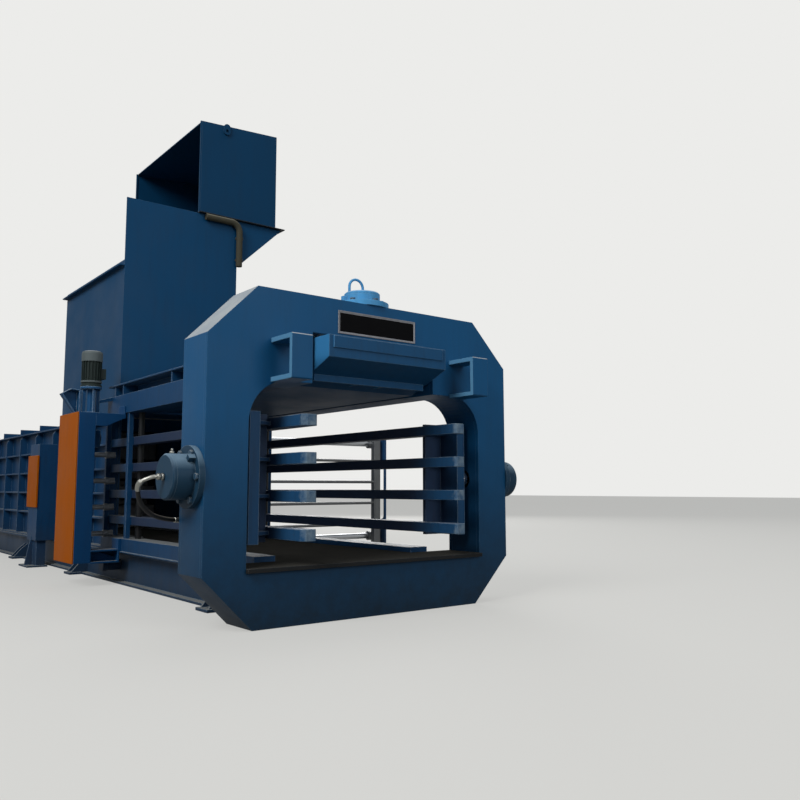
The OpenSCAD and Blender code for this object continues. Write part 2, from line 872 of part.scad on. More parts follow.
module top_clamp_barrel() {
    color(pale_blue) at_top_clamp() difference() {
        union() {
            cylinder(r = clamp_flange_r, h = clamp_flange_t);
            translate([0, 0, clamp_flange_t]) cylinder(r = clamp_barrel_r - 10, h = clamp_top_height);
            translate([0, 0, -top_body_length]) cylinder(r = clamp_body_r, h = top_body_length + 1);
            for (a = [80, 265]) rotate([0, 0, a])
                translate([clamp_barrel_r - 22, -14, clamp_flange_t + 8]) cube([46, 28, 34]);
        }
        translate([0, 0, -top_body_length + gland_depth]) cylinder(r = clamp_bore_r, h = top_body_length + clamp_top_height + 60);
        translate([0, 0, -top_body_length - 1]) cylinder(r = clamp_rod_r + turn_gap, h = 40);
    }
}

clamp_top_height = 55;
top_body_length = portal_height - notch_top - wrap_plate - 10;

module top_clamp_cap() {
    z = clamp_flange_t + clamp_top_height;
    r = clamp_barrel_r - 10;
    handle_low = z + 21;
    color(pale_blue) at_top_clamp() {
        translate([0, 0, z]) difference() {
            rotate_extrude() polygon([[0, 0], [r, 0], [r, 14], [r - 8, 22], [0, 22]]);
            translate([60, 0, -1]) cylinder(r = port_r, h = 24);
        }
        for (y = [-105, 5]) translate([0, y, handle_low]) cylinder(r = 9, h = 36);
        translate([0, -50, handle_low + 36]) rotate([90, 0, 90])
            rotate_extrude(angle = 180) translate([55, 0]) circle(r = 9);
    }
}

module clamp_flange_bolts() {
    color(steel) {
        both_sides() at_near_clamp() clamp_bolt_ring();
        at_top_clamp() clamp_bolt_ring();
    }
}

// Hoses of the side clamp cylinders, from the end cap round to the portal's rear plate
cap_face_y = -half_portal - clamp_top - clamp_cap_t;
fitting_length = 40;
hose_end_y = -1040;
hose_end_z = 618;
hose_route = [
    [0, cap_face_y - fitting_length, clamp_z], [-6, cap_face_y - fitting_length - 32, clamp_z - 4],
    [-40, -1476, 838], [-80, -1470, 785], [-118, -1436, 722], [-150, -1374, 668],
    [-186, -1296, 638], [-222, -1210, 624], [-248, -1130, hose_end_z], [-240, -1066, hose_end_z],
    [-216, hose_end_y, hose_end_z], [-half_depth - fitting_length, hose_end_y, hose_end_z]
];
hose_sides = 8;
hose_steps = 4;

// A point between route points i and i + 1, on a smooth curve through them all
function route_point(p, i, t) =
    let (a = p[max(i - 1, 0)], b = p[i], c = p[i + 1], d = p[min(i + 2, len(p) - 1)])
    0.5 * (2 * b + t * (c - a) + t * t * (2 * a - 5 * b + 4 * c - d) + t * t * t * (3 * b - a - 3 * c + d));

function smooth_route(p) = concat(
    [for (i = [0:len(p) - 2], s = [0:hose_steps - 1]) route_point(p, i, s / hose_steps)],
    [p[len(p) - 1]]
);

function unit(v) = v / norm(v);

module hose_tube() {
    route = smooth_route(hose_route);
    count = len(route);
    last = count - 1;
    ring = [for (i = [0:last])
        let (
            way = i == 0 ? [0, -1, 0] : (i == last ? [1, 0, 0] : unit(route[i + 1] - route[i - 1])),
            across = unit(cross(way, [0.05, 0.02, 1])),
            over = cross(across, way)
        )
        for (k = [0:hose_sides - 1])
            route[i] + hose_r * (cos(k * 360 / hose_sides) * across + sin(k * 360 / hose_sides) * over)
    ];
    walls = [for (i = [0:count - 2], k = [0:hose_sides - 1])
        let (n = (k + 1) % hose_sides)
        [i * hose_sides + k, i * hose_sides + n, (i + 1) * hose_sides + n, (i + 1) * hose_sides + k]
    ];
    start = [for (k = [hose_sides - 1:-1:0]) k];
    end = [for (k = [0:hose_sides - 1]) last * hose_sides + k];
    polyhedron(points = ring, faces = concat(walls, [start], [end]), convexity = 6);
}

module near_hose() {
    color(black) hose_tube();
}

module far_hose() {
    color(black) mirror([0, 1, 0]) hose_tube();
}

module hose_fittings() {
    color(brass) both_sides() {
        bar_y(0, cap_face_y - fitting_length + 12, clamp_z, port_r + 4, fitting_length - 12);
        bar_y(0, cap_face_y - fitting_length, clamp_z, hose_r + 6, 14);
        bar_x(-half_depth - fitting_length, hose_end_y, hose_end_z, hose_r + 6, 16);
        bar_x(-half_depth - fitting_length + 15, hose_end_y, hose_end_z, port_r + 4, fitting_length - 15);
    }
}

// Hinge pins of the doors
pin_sink = 50;

module hinge_pins() {
    color(steel) {
        both_sides() translate([hinge_x, -pin_y, lower_beam_top - pin_sink])
            cylinder(r = hinge_pin_r - turn_gap, h = upper_beam_low + 15 + 60 - lower_beam_top + pin_sink);
        bar_y(lid_lug_x, -lid_half + 4, lid_hinge_z, hinge_pin_r - turn_gap, lid_width - 8);
    }
}

// Side doors: four beams that bend round the bale, tied by a yoke that the clamp cylinder presses
module side_door() {
    tip = 26;
    rear = hinge_x - 45;
    bar_low = first_beam_z - beam_height / 2 - yoke_overhang;
    bar_high = top_beam_z + beam_height / 2 + yoke_overhang;
    bar_rear = -press_bar_length / 2 - 5;
    bar_inner = -press_bar_face + press_bar_depth;
    color(blue) difference() {
        union() {
            for (i = [0:beam_count - 1]) translate([0, 0, first_beam_z + i * beam_pitch - beam_height / 2])
                linear_extrude(beam_height) polygon([
                    [rear, -side_face + 12], [rear + 12, -side_face], [beam_front - tip, -side_face],
                    [beam_front, -side_face + tip], [beam_front, -half_channel - 14],
                    [beam_front - 14, -half_channel], [rear + 12, -half_channel], [rear, -half_channel - 12]
                ]);
            block([bar_rear, -press_bar_face, bar_low], [bar_rear + press_bar_length, bar_inner, bar_high]);
            block([bar_rear - 60, bar_inner - 1, bar_low], [bar_rear - 60 + yoke_plate, -side_face + 1, bar_high]);
            block([bar_rear - 60, bar_inner - yoke_plate, bar_low], [bar_rear + 1, bar_inner, bar_high]);
            for (i = [0:beam_count - 1]) translate([0, 0, first_beam_z + i * beam_pitch - 12])
                linear_extrude(24) polygon([
                    [bar_rear - 31, bar_inner - 1], [bar_rear + 70, bar_inner - 1],
                    [bar_rear + 10, -side_face + 1], [bar_rear - 31, -side_face + 1]
                ]);
        }
        translate([hinge_x, -pin_y, first_beam_z - beam_height]) cylinder(r = hinge_pin_r, h = top_beam_z);
    }
}

module near_door() {
    side_door();
}

module far_door() {
    mirror([0, 1, 0]) side_door();
}

// Top door: two cheeks, pressure plate, nose and cross ribs
module lid_cheek_outline() {
    low = roof_z;
    high = roof_z + lid_height;
    bevel = lid_front - nose_bevel_length;
    polygon([
        [lid_lug_x + 60, low], [bevel, low], [lid_front, low + nose_bevel_rise], [lid_front, high],
        [hinge_x + 500, high], [lid_lug_x + 60, lid_hinge_z + 60], [lid_lug_x - 60, lid_hinge_z + 60],
        [lid_lug_x - 60, lid_hinge_z - 60]
    ]);
}

module top_door() {
    low = roof_z;
    high = roof_z + lid_height;
    bevel = lid_front - nose_bevel_length;
    inner = lid_half - cheek_plate + 0.5;
    color(blue) difference() {
        union() {
            both_sides() along_y(-lid_half, cheek_plate) lid_cheek_outline();
            block([lid_lug_x + 90, -inner, low], [bevel, inner, low + lid_plate]);
            along_y(-inner, 2 * inner) polygon([
                [bevel - 1, low], [bevel, low], [lid_front, low + nose_bevel_rise],
                [lid_front, low + nose_bevel_rise + lid_plate], [bevel - 1, low + lid_plate]
            ]);
            block([lid_front - lid_plate, -inner, low + nose_bevel_rise], [lid_front, inner, high]);
            for (x = [lid_lug_x + 200, lid_lug_x + 700, lid_lug_x + 1200, lid_lug_x + 1700])
                block([x, -inner, low + lid_plate - 1], [x + 16, inner, high - 100]);
            block([-110, -inner, high - 90], [110, inner, high]);
            for (x = [-110, 94]) block([x, -inner, low + lid_plate - 1], [x + 16, inner, high - 89]);
            for (y = [-110, 94]) block([-95, y, low + lid_plate - 1], [95, y + 16, high - 89]);
            block([lid_front - lid_plate - 190, -inner, high - 30], [lid_front - lid_plate + 1, inner, high - 14]);
        }
        bar_y(lid_lug_x, -lid_half - 1, lid_hinge_z, hinge_pin_r, lid_width + 2);
    }
}

module near_rod() {
    at_near_clamp() clamp_rod(side_rod_reach);
}

module far_rod() {
    mirror([0, 1, 0]) at_near_clamp() clamp_rod(side_rod_reach);
}

module top_rod() {
    piston_low = -top_body_length + gland_depth + top_press_travel;
    edge = pad_dome_r - sqrt(pad_dome_r * pad_dome_r - clamp_pad_r * clamp_pad_r);
    color(steel) at_top_clamp() {
        translate([0, 0, piston_low]) cylinder(r = clamp_bore_r - turn_gap, h = 50);
        translate([0, 0, -top_rod_reach + 20]) cylinder(r = clamp_rod_r, h = top_rod_reach - 20 + piston_low + 1);
        translate([0, 0, -top_rod_reach]) rotate_extrude() intersection() {
            translate([0, pad_dome_r]) circle(r = pad_dome_r, $fn = 180);
            polygon([[0, 0], [clamp_pad_r, 0], [clamp_pad_r, edge + 14], [0, edge + 14]]);
        }
    }
}

// Ram: slotted head, hollow body that swallows the cylinder, moving knife on the top edge
ram_low = floor_top + rail_strip + slide_gap;
ram_high = roof_z - 6 - knife_gap;
ram_half = half_channel - ram_gap;

module ram_head() {
    front = -ram_back;
    color(steel) difference() {
        block([front - head_length, -ram_half, ram_low], [front, ram_half, ram_high]);
        block([front - knife_length, -ram_half - 1, ram_high - knife_height], [front + 1, ram_half + 1, ram_high + 1]);
        for (i = [0:beam_count - 1])
            along_y(-ram_half - 1, 2 * ram_half + 2) polygon([
                [front - slot_depth, wire_z(i) - slot_height / 2 + 12],
                [front - slot_depth + 12, wire_z(i) - slot_height / 2],
                [front - 14, wire_z(i) - slot_height / 2], [front + 1, wire_z(i) - slot_height / 2 - 14],
                [front + 1, wire_z(i) + slot_height / 2 + 14], [front - 14, wire_z(i) + slot_height / 2],
                [front - slot_depth + 12, wire_z(i) + slot_height / 2],
                [front - slot_depth, wire_z(i) + slot_height / 2 - 12]
            ]);
    }
}

module ram_body() {
    front = -ram_back - head_length;
    back = front - body_length;
    t = ram_plate;
    high = ram_high - 6;
    color(blue) difference() {
        block([back, -ram_half, ram_low], [front, ram_half, high]);
        block([back - 1, -ram_half + t, ram_low + t], [front + 1, ram_half - t, high - t]);
    }
}

module ram_knife() {
    front = -ram_back;
    color(steel) along_y(-ram_half, 2 * ram_half) polygon([
        [front, ram_high], [front, ram_high - knife_height], [front - knife_length, ram_high - knife_height],
        [front - knife_length, ram_high - 12], [front - knife_length + 12, ram_high]
    ]);
}

module main_rod() {
    piston = 150;
    piston_x = barrel_rear_x + 40;
    color(steel) {
        bar_x(piston_x, 0, main_axis_z, main_bore_r - turn_gap, piston);
        bar_x(piston_x + piston - 1, 0, main_axis_z, main_rod_r, head_rear_x - piston_x - piston + 1);
        bar_x(head_rear_x - 35, 0, main_axis_z, main_rod_r + 70, 35);
    }
}

// Tie unit: gear case with four twisters, driven by a motor on top
gear_module = 2 * (beam_pitch / 2) / gear_teeth;
gear_y = -case_face + 32;
case_inner = -case_face + case_width;
bearing_out = 24;
pinion_reach = gear_module * (gear_teeth + pinion_teeth) / 2;
pinion_x = needle_x + pinion_reach * cos(mesh_angle);
pinion_z = wire_z(beam_count - 1) + pinion_reach * sin(mesh_angle);
tooth_play = 0.9;

function involute(base, t) = [base * (cos(t) + t * PI / 180 * sin(t)), base * (sin(t) - t * PI / 180 * cos(t))];
function turned(p, a) = [p[0] * cos(a) - p[1] * sin(a), p[0] * sin(a) + p[1] * cos(a)];
function involute_turn(base, r) = sqrt(pow(r / base, 2) - 1) * 180 / PI;
function involute_lead(base, r) = involute_turn(base, r) - acos(base / r);

module gear_outline(teeth) {
    pitch_r = gear_module * teeth / 2;
    base = pitch_r * cos(20);
    root = pitch_r - 1.25 * gear_module;
    tip = pitch_r + 0.94 * gear_module;
    half_tooth = 90 / teeth - tooth_play / pitch_r * 90 / PI;
    shift = half_tooth + involute_lead(base, pitch_r);
    start = max(base, root);
    flank = [for (k = [0:4])
        let (r = start + (tip - start) * k / 4)
        turned(involute(base, involute_turn(base, r)), -shift)
    ];
    foot = turned([root, 0], -shift - 0.6);
    side = concat([foot], flank);
    tooth = concat(side, [for (k = [len(side) - 1:-1:0]) [side[k][0], -side[k][1]]]);
    polygon([for (i = [0:teeth - 1]) each [for (p = tooth) turned(p, i * 360 / teeth)]]);
}

module twister(i) {
    z = wire_z(i);
    tip_y = -side_face - 45;
    color(steel) difference() {
        union() {
            translate([needle_x, gear_y + gear_face, z]) rotate([90, 0, 0])
                linear_extrude(gear_face) rotate([0, 0, 90]) gear_outline(gear_teeth);
            bar_y(needle_x, gear_y - 10, z, spindle_r + 10, gear_face + 20);
            bar_y(needle_x, gear_y - 20, z, spindle_r, tip_y - gear_y - 40);
            bar_y(needle_x, tip_y - 82, z, spindle_r + 8, 30);
            along_y(tip_y - 53, 53) translate([needle_x, z]) difference() {
                circle(r = spindle_r + 6);
                translate([-6, -spindle_r - 8]) square([12, 2 * spindle_r + 16]);
                translate([spindle_r - 8, -5]) square([16, spindle_r + 12]);
            }
        }
        for (a = [0:60:300])
            bar_y(needle_x + 68 * cos(a), gear_y - 1, z + 68 * sin(a), 20, gear_face + 2);
    }
}

module drive_pinion() {
    turn = mesh_angle + 180 - (90 - mesh_angle) * gear_teeth / pinion_teeth + 180 / pinion_teeth;
    color(steel) {
        translate([pinion_x, gear_y + gear_face, pinion_z]) rotate([90, 0, 0])
            linear_extrude(gear_face) rotate([0, 0, turn]) gear_outline(pinion_teeth);
        bar_y(pinion_x, gear_y - 18, pinion_z, spindle_r, 175);
    }
}

module tie_case() {
    front = -case_front;
    back = -case_front - case_length;
    t = case_plate;
    outer = -case_face + t;
    gearbox_hole = spindle_r + 30;
    color(blue) difference() {
        union() {
            difference() {
                block([back, outer, case_bottom], [front, case_inner, case_top]);
                block([back + t, outer - 1, case_bottom + t], [front - t, case_inner - t, case_top - t]);
            }
            for (i = [0:beam_count - 1])
                bar_y(needle_x, case_inner - t, wire_z(i), spindle_r + 26, t + bearing_out);
        }
        for (i = [0:beam_count - 1])
            bar_y(needle_x, case_inner - t - 1, wire_z(i), spindle_r + turn_gap, t + bearing_out + 2);
        bar_y(pinion_x, case_inner - t - 1, pinion_z, gearbox_hole, t + 2);
    }
}

module tie_guard() {
    front = -case_front;
    back = -case_front - case_length;
    color(orange) difference() {
        block([back, -case_face, case_bottom], [front, -case_face + case_plate, case_top]);
        block([back + 5, -case_face + 4, case_bottom + 5], [front - 5, -case_face + case_plate + 1, case_top - 5]);
    }
}

arm_length = 150;
arm_height = 110;
arm_plate = 14;

module tie_arms() {
    front = -case_front;
    back = front - arm_length;
    t = arm_plate;
    low = case_bottom - 5;
    low_end = -side_beam_face - beam_flange;
    color(blue) {
        difference() {
            block([back, case_inner, low], [front, low_end, low + arm_height]);
            block([back + t, case_inner - 1, low + t], [front + 1, low_end - t, low + arm_height - t]);
        }
        along_x(back + 60, t) polygon([
            [case_inner, low + t - 1], [low_end - t + 1, low + t - 1], [low_end - t + 1, low + 40],
            [case_inner + 60, low + arm_height - t + 1], [case_inner, low + arm_height - t + 1]
        ]);
        block([back, case_inner, case_top - t], [front, -side_beam_face, case_top]);
        for (x = [back, front - t]) along_x(x, t) polygon([
            [case_inner, case_top - t + 1], [-side_beam_face - t, case_top - t + 1],
            [-side_beam_face - t, case_top - t - 24], [case_inner + 90, case_top - arm_height],
            [case_inner, case_top - arm_height]
        ]);
        block([back, -side_beam_face - t, case_top - t - 24], [front, -side_beam_face, upper_beam_low + 60]);
        block([back, low_end - t, case_bottom + arm_height - t], [front, low_end, lower_beam_top]);
        block([back, low_end - 1, skid_height + 11], [front, -side_beam_face, lower_beam_top]);
    }
}

// Gearbox behind the case, a lantern of four posts that carries the motor, a strut to the channel,
// and an open chute for the wire on the case's outer side
motor_y = case_inner + 60;
lantern_r = 76;
gearbox_depth = 135;
lantern_foot = 24;
lantern_ring = 21;
post_plate = 12;
scoop_depth = 70;
scoop_sheet = 8;

module scoop_outline(inset) {
    polygon([
        [gear_y - 75 + 1.7 * inset, case_top + 180], [gear_y + 6, case_top + 230 - 1.2 * inset],
        [gear_y + 80 - inset, case_top + 222 - inset], [gear_y + 80 - inset, case_top + inset],
        [gear_y + 50 + 0.6 * inset, case_top + inset]
    ]);
}

module tie_gearbox() {
    y = case_inner;
    mid = motor_y;
    low = pinion_z - 75;
    color(steel) difference() {
        union() {
            block([pinion_x - 70, y, low], [pinion_x + 70, y + gearbox_depth, pinion_z + 75]);
            bar_y(pinion_x, y - case_plate, pinion_z, spindle_r + 28, case_plate + 20);
            bar_y(pinion_x, y + gearbox_depth - 1, pinion_z, 55, 15);
            translate([pinion_x, mid, pinion_z + 74]) cylinder(r = lantern_r - 22, h = case_top - pinion_z - 60);
            translate([pinion_x, mid, case_top + 6]) cylinder(r = lantern_r + 8, h = lantern_foot);
            translate([pinion_x, mid, case_top + 20]) cylinder(r = 30, h = motor_z - case_top - 30);
            translate([pinion_x, mid, motor_z - lantern_ring]) cylinder(r = motor_r + 4, h = lantern_ring);
            for (a = [0:90:270]) translate([pinion_x, mid, case_top + 20]) rotate([0, 0, a])
                translate([lantern_r - 34, -post_plate / 2, 0]) cube([34, post_plate, motor_z - case_top - 30]);
        }
        bar_y(pinion_x, y - case_plate - 1, pinion_z, spindle_r + turn_gap, 110);
    }
    color(blue) along_x(pinion_x - 8, 16) polygon([
        [mid + lantern_r - 4, motor_z - 140], [-side_beam_face, upper_beam_low + upper_beam_height - 34],
        [-side_beam_face, upper_beam_low + upper_beam_height], [mid + lantern_r - 4, motor_z - 112]
    ]);
    color(blue) difference() {
        along_x(pinion_x - 45, scoop_depth) scoop_outline(0);
        along_x(pinion_x - 45 + scoop_sheet, scoop_depth) scoop_outline(scoop_sheet);
    }
}

module tie_motor() {
    fins = 20;
    body_z = motor_shield - 1;
    cowl_z = motor_shield + motor_body;
    color(steel) translate([pinion_x, motor_y, motor_z]) {
        cylinder(r = motor_r + 4, h = 16);
        translate([0, 0, 15]) cylinder(r = motor_r - 6, h = motor_shield - 29);
        translate([0, 0, motor_shield - 15]) cylinder(r = motor_r + 2, h = 15);
        translate([0, 0, body_z]) cylinder(r = motor_r - 12, h = motor_body + 2);
        for (a = [0:360 / fins:359]) rotate([0, 0, a])
            translate([motor_r - 14, -2.5, body_z]) cube([14, 5, motor_body + 2]);
        translate([0, 0, cowl_z]) rotate_extrude() polygon([
            [0, 0], [motor_r + 2, 0], [motor_r + 2, motor_cowl - 22], [motor_r - 4, motor_cowl - 8],
            [motor_r - 22, motor_cowl], [0, motor_cowl]
        ]);
        translate([-40, motor_r - 20, motor_shield + 24]) cube([80, 48, 90]);
    }
}

// Post on the feed chamber's near side, with its small cover
post_length = 340;
post_front = 4560;
post_face = 860;
post_top = 1270;
post_foot = 70;
cover_low = 612;
cover_high = 1150;

module side_post() {
    inner = -half_channel - wall_plate - rib_depth;
    color(blue) {
        difference() {
            block([-post_front - post_length, -post_face, skid_height], [-post_front, inner, post_top]);
            block([-post_front - post_length + 12, -post_face - 1, cover_low + 30],
                  [-post_front - 12, inner - 12, cover_high - 30]);
        }
        along_x(-post_front - post_length / 2 - 10, 20) polygon([
            [-post_face - 60, 0], [-post_face + 120, 0], [-post_face + 120, skid_height], [-post_face, skid_height + 90],
            [-post_face - 10, skid_height]
        ]);
        block([-post_front - post_length, -post_face - post_foot, 0], [-post_front, -post_face + post_foot + 60, 16]);
        block([-post_front - post_length + 30, -post_face + 20, 15], [-post_front - 30, -post_face + 110, skid_height + 1]);
    }
}

module post_cover() {
    color(orange) difference() {
        block([-post_front - post_length - 10, -post_face - 18, cover_low], [-post_front + 10, -post_face, cover_high]);
        block([-post_front - post_length - 5, -post_face - 14, cover_low + 5],
              [-post_front + 5, -post_face + 1, cover_high - 5]);
    }
}

// Needle unit on the far side
needle_rest_tip = side_face + 50;
carriage_in = side_face + 100;
needle_length = needle_stroke + (carriage_in - needle_rest_tip);
carriage_y = needle_rest_tip + needle_length;
carriage_depth = 80;
rail_low_z = 290;
rail_high_z = 1290;
rail_x = needle_x - 85;
guide_y = side_beam_face + beam_flange;
guide_t = 20;
bush_reach = carriage_in - guide_y - guide_t - 8;
guide_back = needle_x - 140;
guide_front = needle_x + 60;
guide_low = 100;
guide_high = 1345;
rail_end_y = carriage_y + carriage_depth + 60;

module needle_guide() {
    color(blue) {
        difference() {
            block([guide_back, guide_y, guide_low], [guide_front, guide_y + guide_t, upper_beam_low + 60]);
            for (i = [0:beam_count - 1]) bar_y(needle_x, guide_y - 1, wire_z(i), needle_r + 5, guide_t + 2);
            bar_y(needle_x, guide_y - 1, needle_cylinder_z, needle_rod_r + 8, guide_t + 2);
            for (z = [rail_low_z, rail_high_z]) bar_y(rail_x, guide_y - 1, z, rail_r, guide_t + 2);
        }
        difference() {
            block([guide_back, rail_end_y - guide_t, 0], [guide_front, rail_end_y, guide_high]);
            for (z = [rail_low_z, rail_high_z]) bar_y(rail_x, rail_end_y - guide_t - 1, z, rail_r, guide_t + 2);
            along_y(rail_end_y - guide_t - 1, guide_t + 2) translate([needle_x - 20, 790]) window_outline(110, 640, 40);
        }
        block([guide_back - 30, rail_end_y - 160, 0], [guide_front + 30, rail_end_y + 60, 16]);
        along_x(guide_back, 14) polygon([
            [rail_end_y - 130, 15], [rail_end_y - guide_t + 1, 15], [rail_end_y - guide_t + 1, 240]
        ]);
        block([guide_back, side_beam_face, upper_beam_low + 5], [guide_front, guide_y + 1, upper_beam_low + 60]);
        block([guide_back, side_beam_face, skid_height + 11], [needle_x - 30, guide_y + 1, lower_beam_top - 20]);
    }
}

module needle_rails() {
    color(steel) for (z = [rail_low_z, rail_high_z])
        bar_y(rail_x, guide_y + 1, z, rail_r - turn_gap, rail_end_y - guide_y - 1);
}

needle_rod_r = 18;
needle_piston = 40;
needle_gland = 30;
needle_barrel_end = side_face + 50;
needle_piston_y = needle_barrel_end - needle_gland - needle_piston - 5;
needle_barrel_rear = needle_piston_y - needle_stroke - 10;

module needle_barrel() {
    rear = needle_barrel_rear;
    z = needle_cylinder_z;
    color(blue) difference() {
        union() {
            bar_y(needle_x, rear - 24, z, needle_barrel_r, needle_barrel_end - rear + 24);
            bar_y(needle_x, rear - 24, z, needle_barrel_r + 8, 40);
            bar_y(needle_x, needle_barrel_end - needle_gland, z, needle_barrel_r + 8, needle_gland - 5);
        }
        bar_y(needle_x, rear, z, needle_barrel_bore, needle_barrel_end - needle_gland - rear);
        bar_y(needle_x, needle_barrel_end - needle_gland - 1, z, needle_rod_r + turn_gap, needle_gland + 2);
    }
}

module needle_carriage() {
    y = carriage_y;
    color(steel) {
        difference() {
            union() {
                block([needle_x - 30, y, needle_cylinder_z - 40], [needle_x + 30, y + carriage_depth, rail_high_z + 50]);
                for (z = [rail_low_z, rail_high_z]) {
                    bar_y(rail_x, y - bush_reach, z, rail_r + 18, carriage_depth + 2 * bush_reach);
                    block([rail_x + 30, y, z - 40], [needle_x, y + carriage_depth, z + 40]);
                }
            }
            for (z = [rail_low_z, rail_high_z])
                bar_y(rail_x, y - bush_reach - 1, z, rail_r, carriage_depth + 2 * bush_reach + 2);
        }
        for (i = [0:beam_count - 1]) needle(wire_z(i));
        bar_y(needle_x, needle_piston_y, needle_cylinder_z, needle_rod_r, y - needle_piston_y + 1);
        bar_y(needle_x, needle_piston_y, needle_cylinder_z, needle_barrel_bore - turn_gap, needle_piston);
    }
}

module needle(z) {
    tip = needle_rest_tip;
    difference() {
        bar_y(needle_x, tip, z, needle_r, needle_length + 1);
        translate([needle_x - needle_r - 1, tip + 18, z - 5]) cube([needle_r + 4, 16, 10]);
    }
}

base_frame();
foot_lugs();
channel_floor();
channel_side_near();
channel_side_far();
channel_roof();
portal_front_plate();
portal_rear_plate();
portal_wrap();
portal_liner();
side_wall_near();
side_wall_far();
chamber_roof();
ram_rails();
fixed_knife();
rear_crosshead();
main_barrel();
main_gland();
main_rear_cap();
hopper_chute();
hopper_seam();
hopper_hood();
hopper_conduit();
near_clamp_barrel();
near_clamp_cap();
far_clamp_barrel();
far_clamp_cap();
top_clamp_barrel();
top_clamp_cap();
clamp_flange_bolts();
hose_fittings();
near_hose();
far_hose();
hinge_pins();
tie_case();
tie_guard();
tie_arms();
tie_gearbox();
tie_motor();
side_post();
post_cover();
needle_guide();
needle_rails();
needle_barrel();
ram_head();
ram_body();
ram_knife();
main_rod();
near_door();
far_door();
top_door();
near_rod();
far_rod();
top_rod();
needle_carriage();
drive_pinion();
twister(0);  // twister_1
twister(1);  // twister_2
twister(2);  // twister_3
twister(3);  // twister_4
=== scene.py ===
import math

import bmesh
import bpy
from mathutils import Matrix, Vector


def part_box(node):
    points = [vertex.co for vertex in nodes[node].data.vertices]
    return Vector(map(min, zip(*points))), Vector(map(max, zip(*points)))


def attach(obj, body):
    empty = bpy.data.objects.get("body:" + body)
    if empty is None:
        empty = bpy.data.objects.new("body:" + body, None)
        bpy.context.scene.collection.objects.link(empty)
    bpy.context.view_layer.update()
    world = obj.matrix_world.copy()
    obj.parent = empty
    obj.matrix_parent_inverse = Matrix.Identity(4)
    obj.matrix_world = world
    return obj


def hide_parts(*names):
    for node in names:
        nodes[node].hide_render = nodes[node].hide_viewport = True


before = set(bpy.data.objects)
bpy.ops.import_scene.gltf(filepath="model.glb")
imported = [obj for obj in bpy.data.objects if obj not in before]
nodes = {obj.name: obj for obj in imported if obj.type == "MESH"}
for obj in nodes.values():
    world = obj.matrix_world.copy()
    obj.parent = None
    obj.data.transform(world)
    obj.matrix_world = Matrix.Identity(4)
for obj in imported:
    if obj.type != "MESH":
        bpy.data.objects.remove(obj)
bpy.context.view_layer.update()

# Camera: it stands on the near side in front of the portal, 0.8 m above the floor, and looks a
# little up along the machine, through a 36 mm lens on a 36 mm wide sensor.
view = bpy.data.cameras.new("camera")
view.lens = 36.03
view.sensor_width = 36.0
view.clip_end = 200.0
camera = bpy.data.objects.new("camera", view)
camera.location = (4.335, -3.112, 0.808)
camera.rotation_euler = (math.radians(96.26), math.radians(0.08), math.radians(51.58))
bpy.context.scene.collection.objects.link(camera)
bpy.context.scene.camera = camera
bpy.context.scene.view_settings.view_transform = "Standard"


def linear(hex_colour):
    """An sRGB hex colour as the linear values that the shaders take."""
    parts = [int(hex_colour[i:i + 2], 16) / 255 for i in (1, 3, 5)]
    return tuple(c / 12.92 if c <= 0.04045 else ((c + 0.055) / 1.055) ** 2.4 for c in parts) + (1.0,)


def add(tree, kind, links=None, values=None, **settings):
    """A node with its settings, the values of its own sockets and its links."""
    node = tree.nodes.new(kind)
    for name, value in settings.items():
        setattr(node, name, value)
    for name, value in (values or {}).items():
        node.inputs[name].default_value = value
    for name, socket in (links or {}).items():
        tree.links.new(socket, node.inputs[name])
    return node


# Studio: a pale floor, an even sky that shows pale behind the machine, one large soft lamp on the
# near side and weaker ones in front, above and behind. Glossy surfaces see a share of the pale
# floor and sky, and a share of the floor's tone is its own light.
mirrored_share = 0.45
glow_share = 0.55
floor_paint = bpy.data.materials.new("pale floor")
floor_paint.use_nodes = True
floor_paint.node_tree.nodes.clear()
floor_tree = floor_paint.node_tree
floor_path = add(floor_tree, "ShaderNodeLightPath")
floor_shine = add(floor_tree, "ShaderNodeMath", {0: floor_path.outputs["Is Glossy Ray"]},
                  {1: mirrored_share}, operation="MULTIPLY")
floor_seen = add(floor_tree, "ShaderNodeMath",
                 {0: floor_path.outputs["Is Camera Ray"], 1: floor_shine.outputs[0]}, operation="MAXIMUM")
# it throws back less light than it shows, so undersides stay dark
floor_colour = add(floor_tree, "ShaderNodeMix", {0: floor_seen.outputs[0]},
                   {6: linear("#6f6e69"), 7: linear("#b9b8b4")}, data_type="RGBA")
floor_shader = add(floor_tree, "ShaderNodeBsdfPrincipled", {"Base Color": floor_colour.outputs[2]},
                   {"Roughness": 0.9, "Specular IOR Level": 0.1})
floor_glow = add(floor_tree, "ShaderNodeEmission", values={"Color": linear("#e4e4e1"), "Strength": 1.0})
floor_share = add(floor_tree, "ShaderNodeMath", {0: floor_seen.outputs[0]}, {1: glow_share},
                  operation="MULTIPLY")
floor_mix = add(floor_tree, "ShaderNodeMixShader",
                {0: floor_share.outputs[0], 1: floor_shader.outputs[0], 2: floor_glow.outputs[0]})
add(floor_tree, "ShaderNodeOutputMaterial", {"Surface": floor_mix.outputs[0]})
floor_shape = bmesh.new()
bmesh.ops.create_grid(floor_shape, x_segments=1, y_segments=1, size=60.0)
floor_mesh = bpy.data.meshes.new("floor")
floor_shape.to_mesh(floor_mesh)
floor_shape.free()
floor_mesh.materials.append(floor_paint)
floor = bpy.data.objects.new("floor", floor_mesh)
floor.location = (0, 0, -0.002)
bpy.context.scene.collection.objects.link(floor)

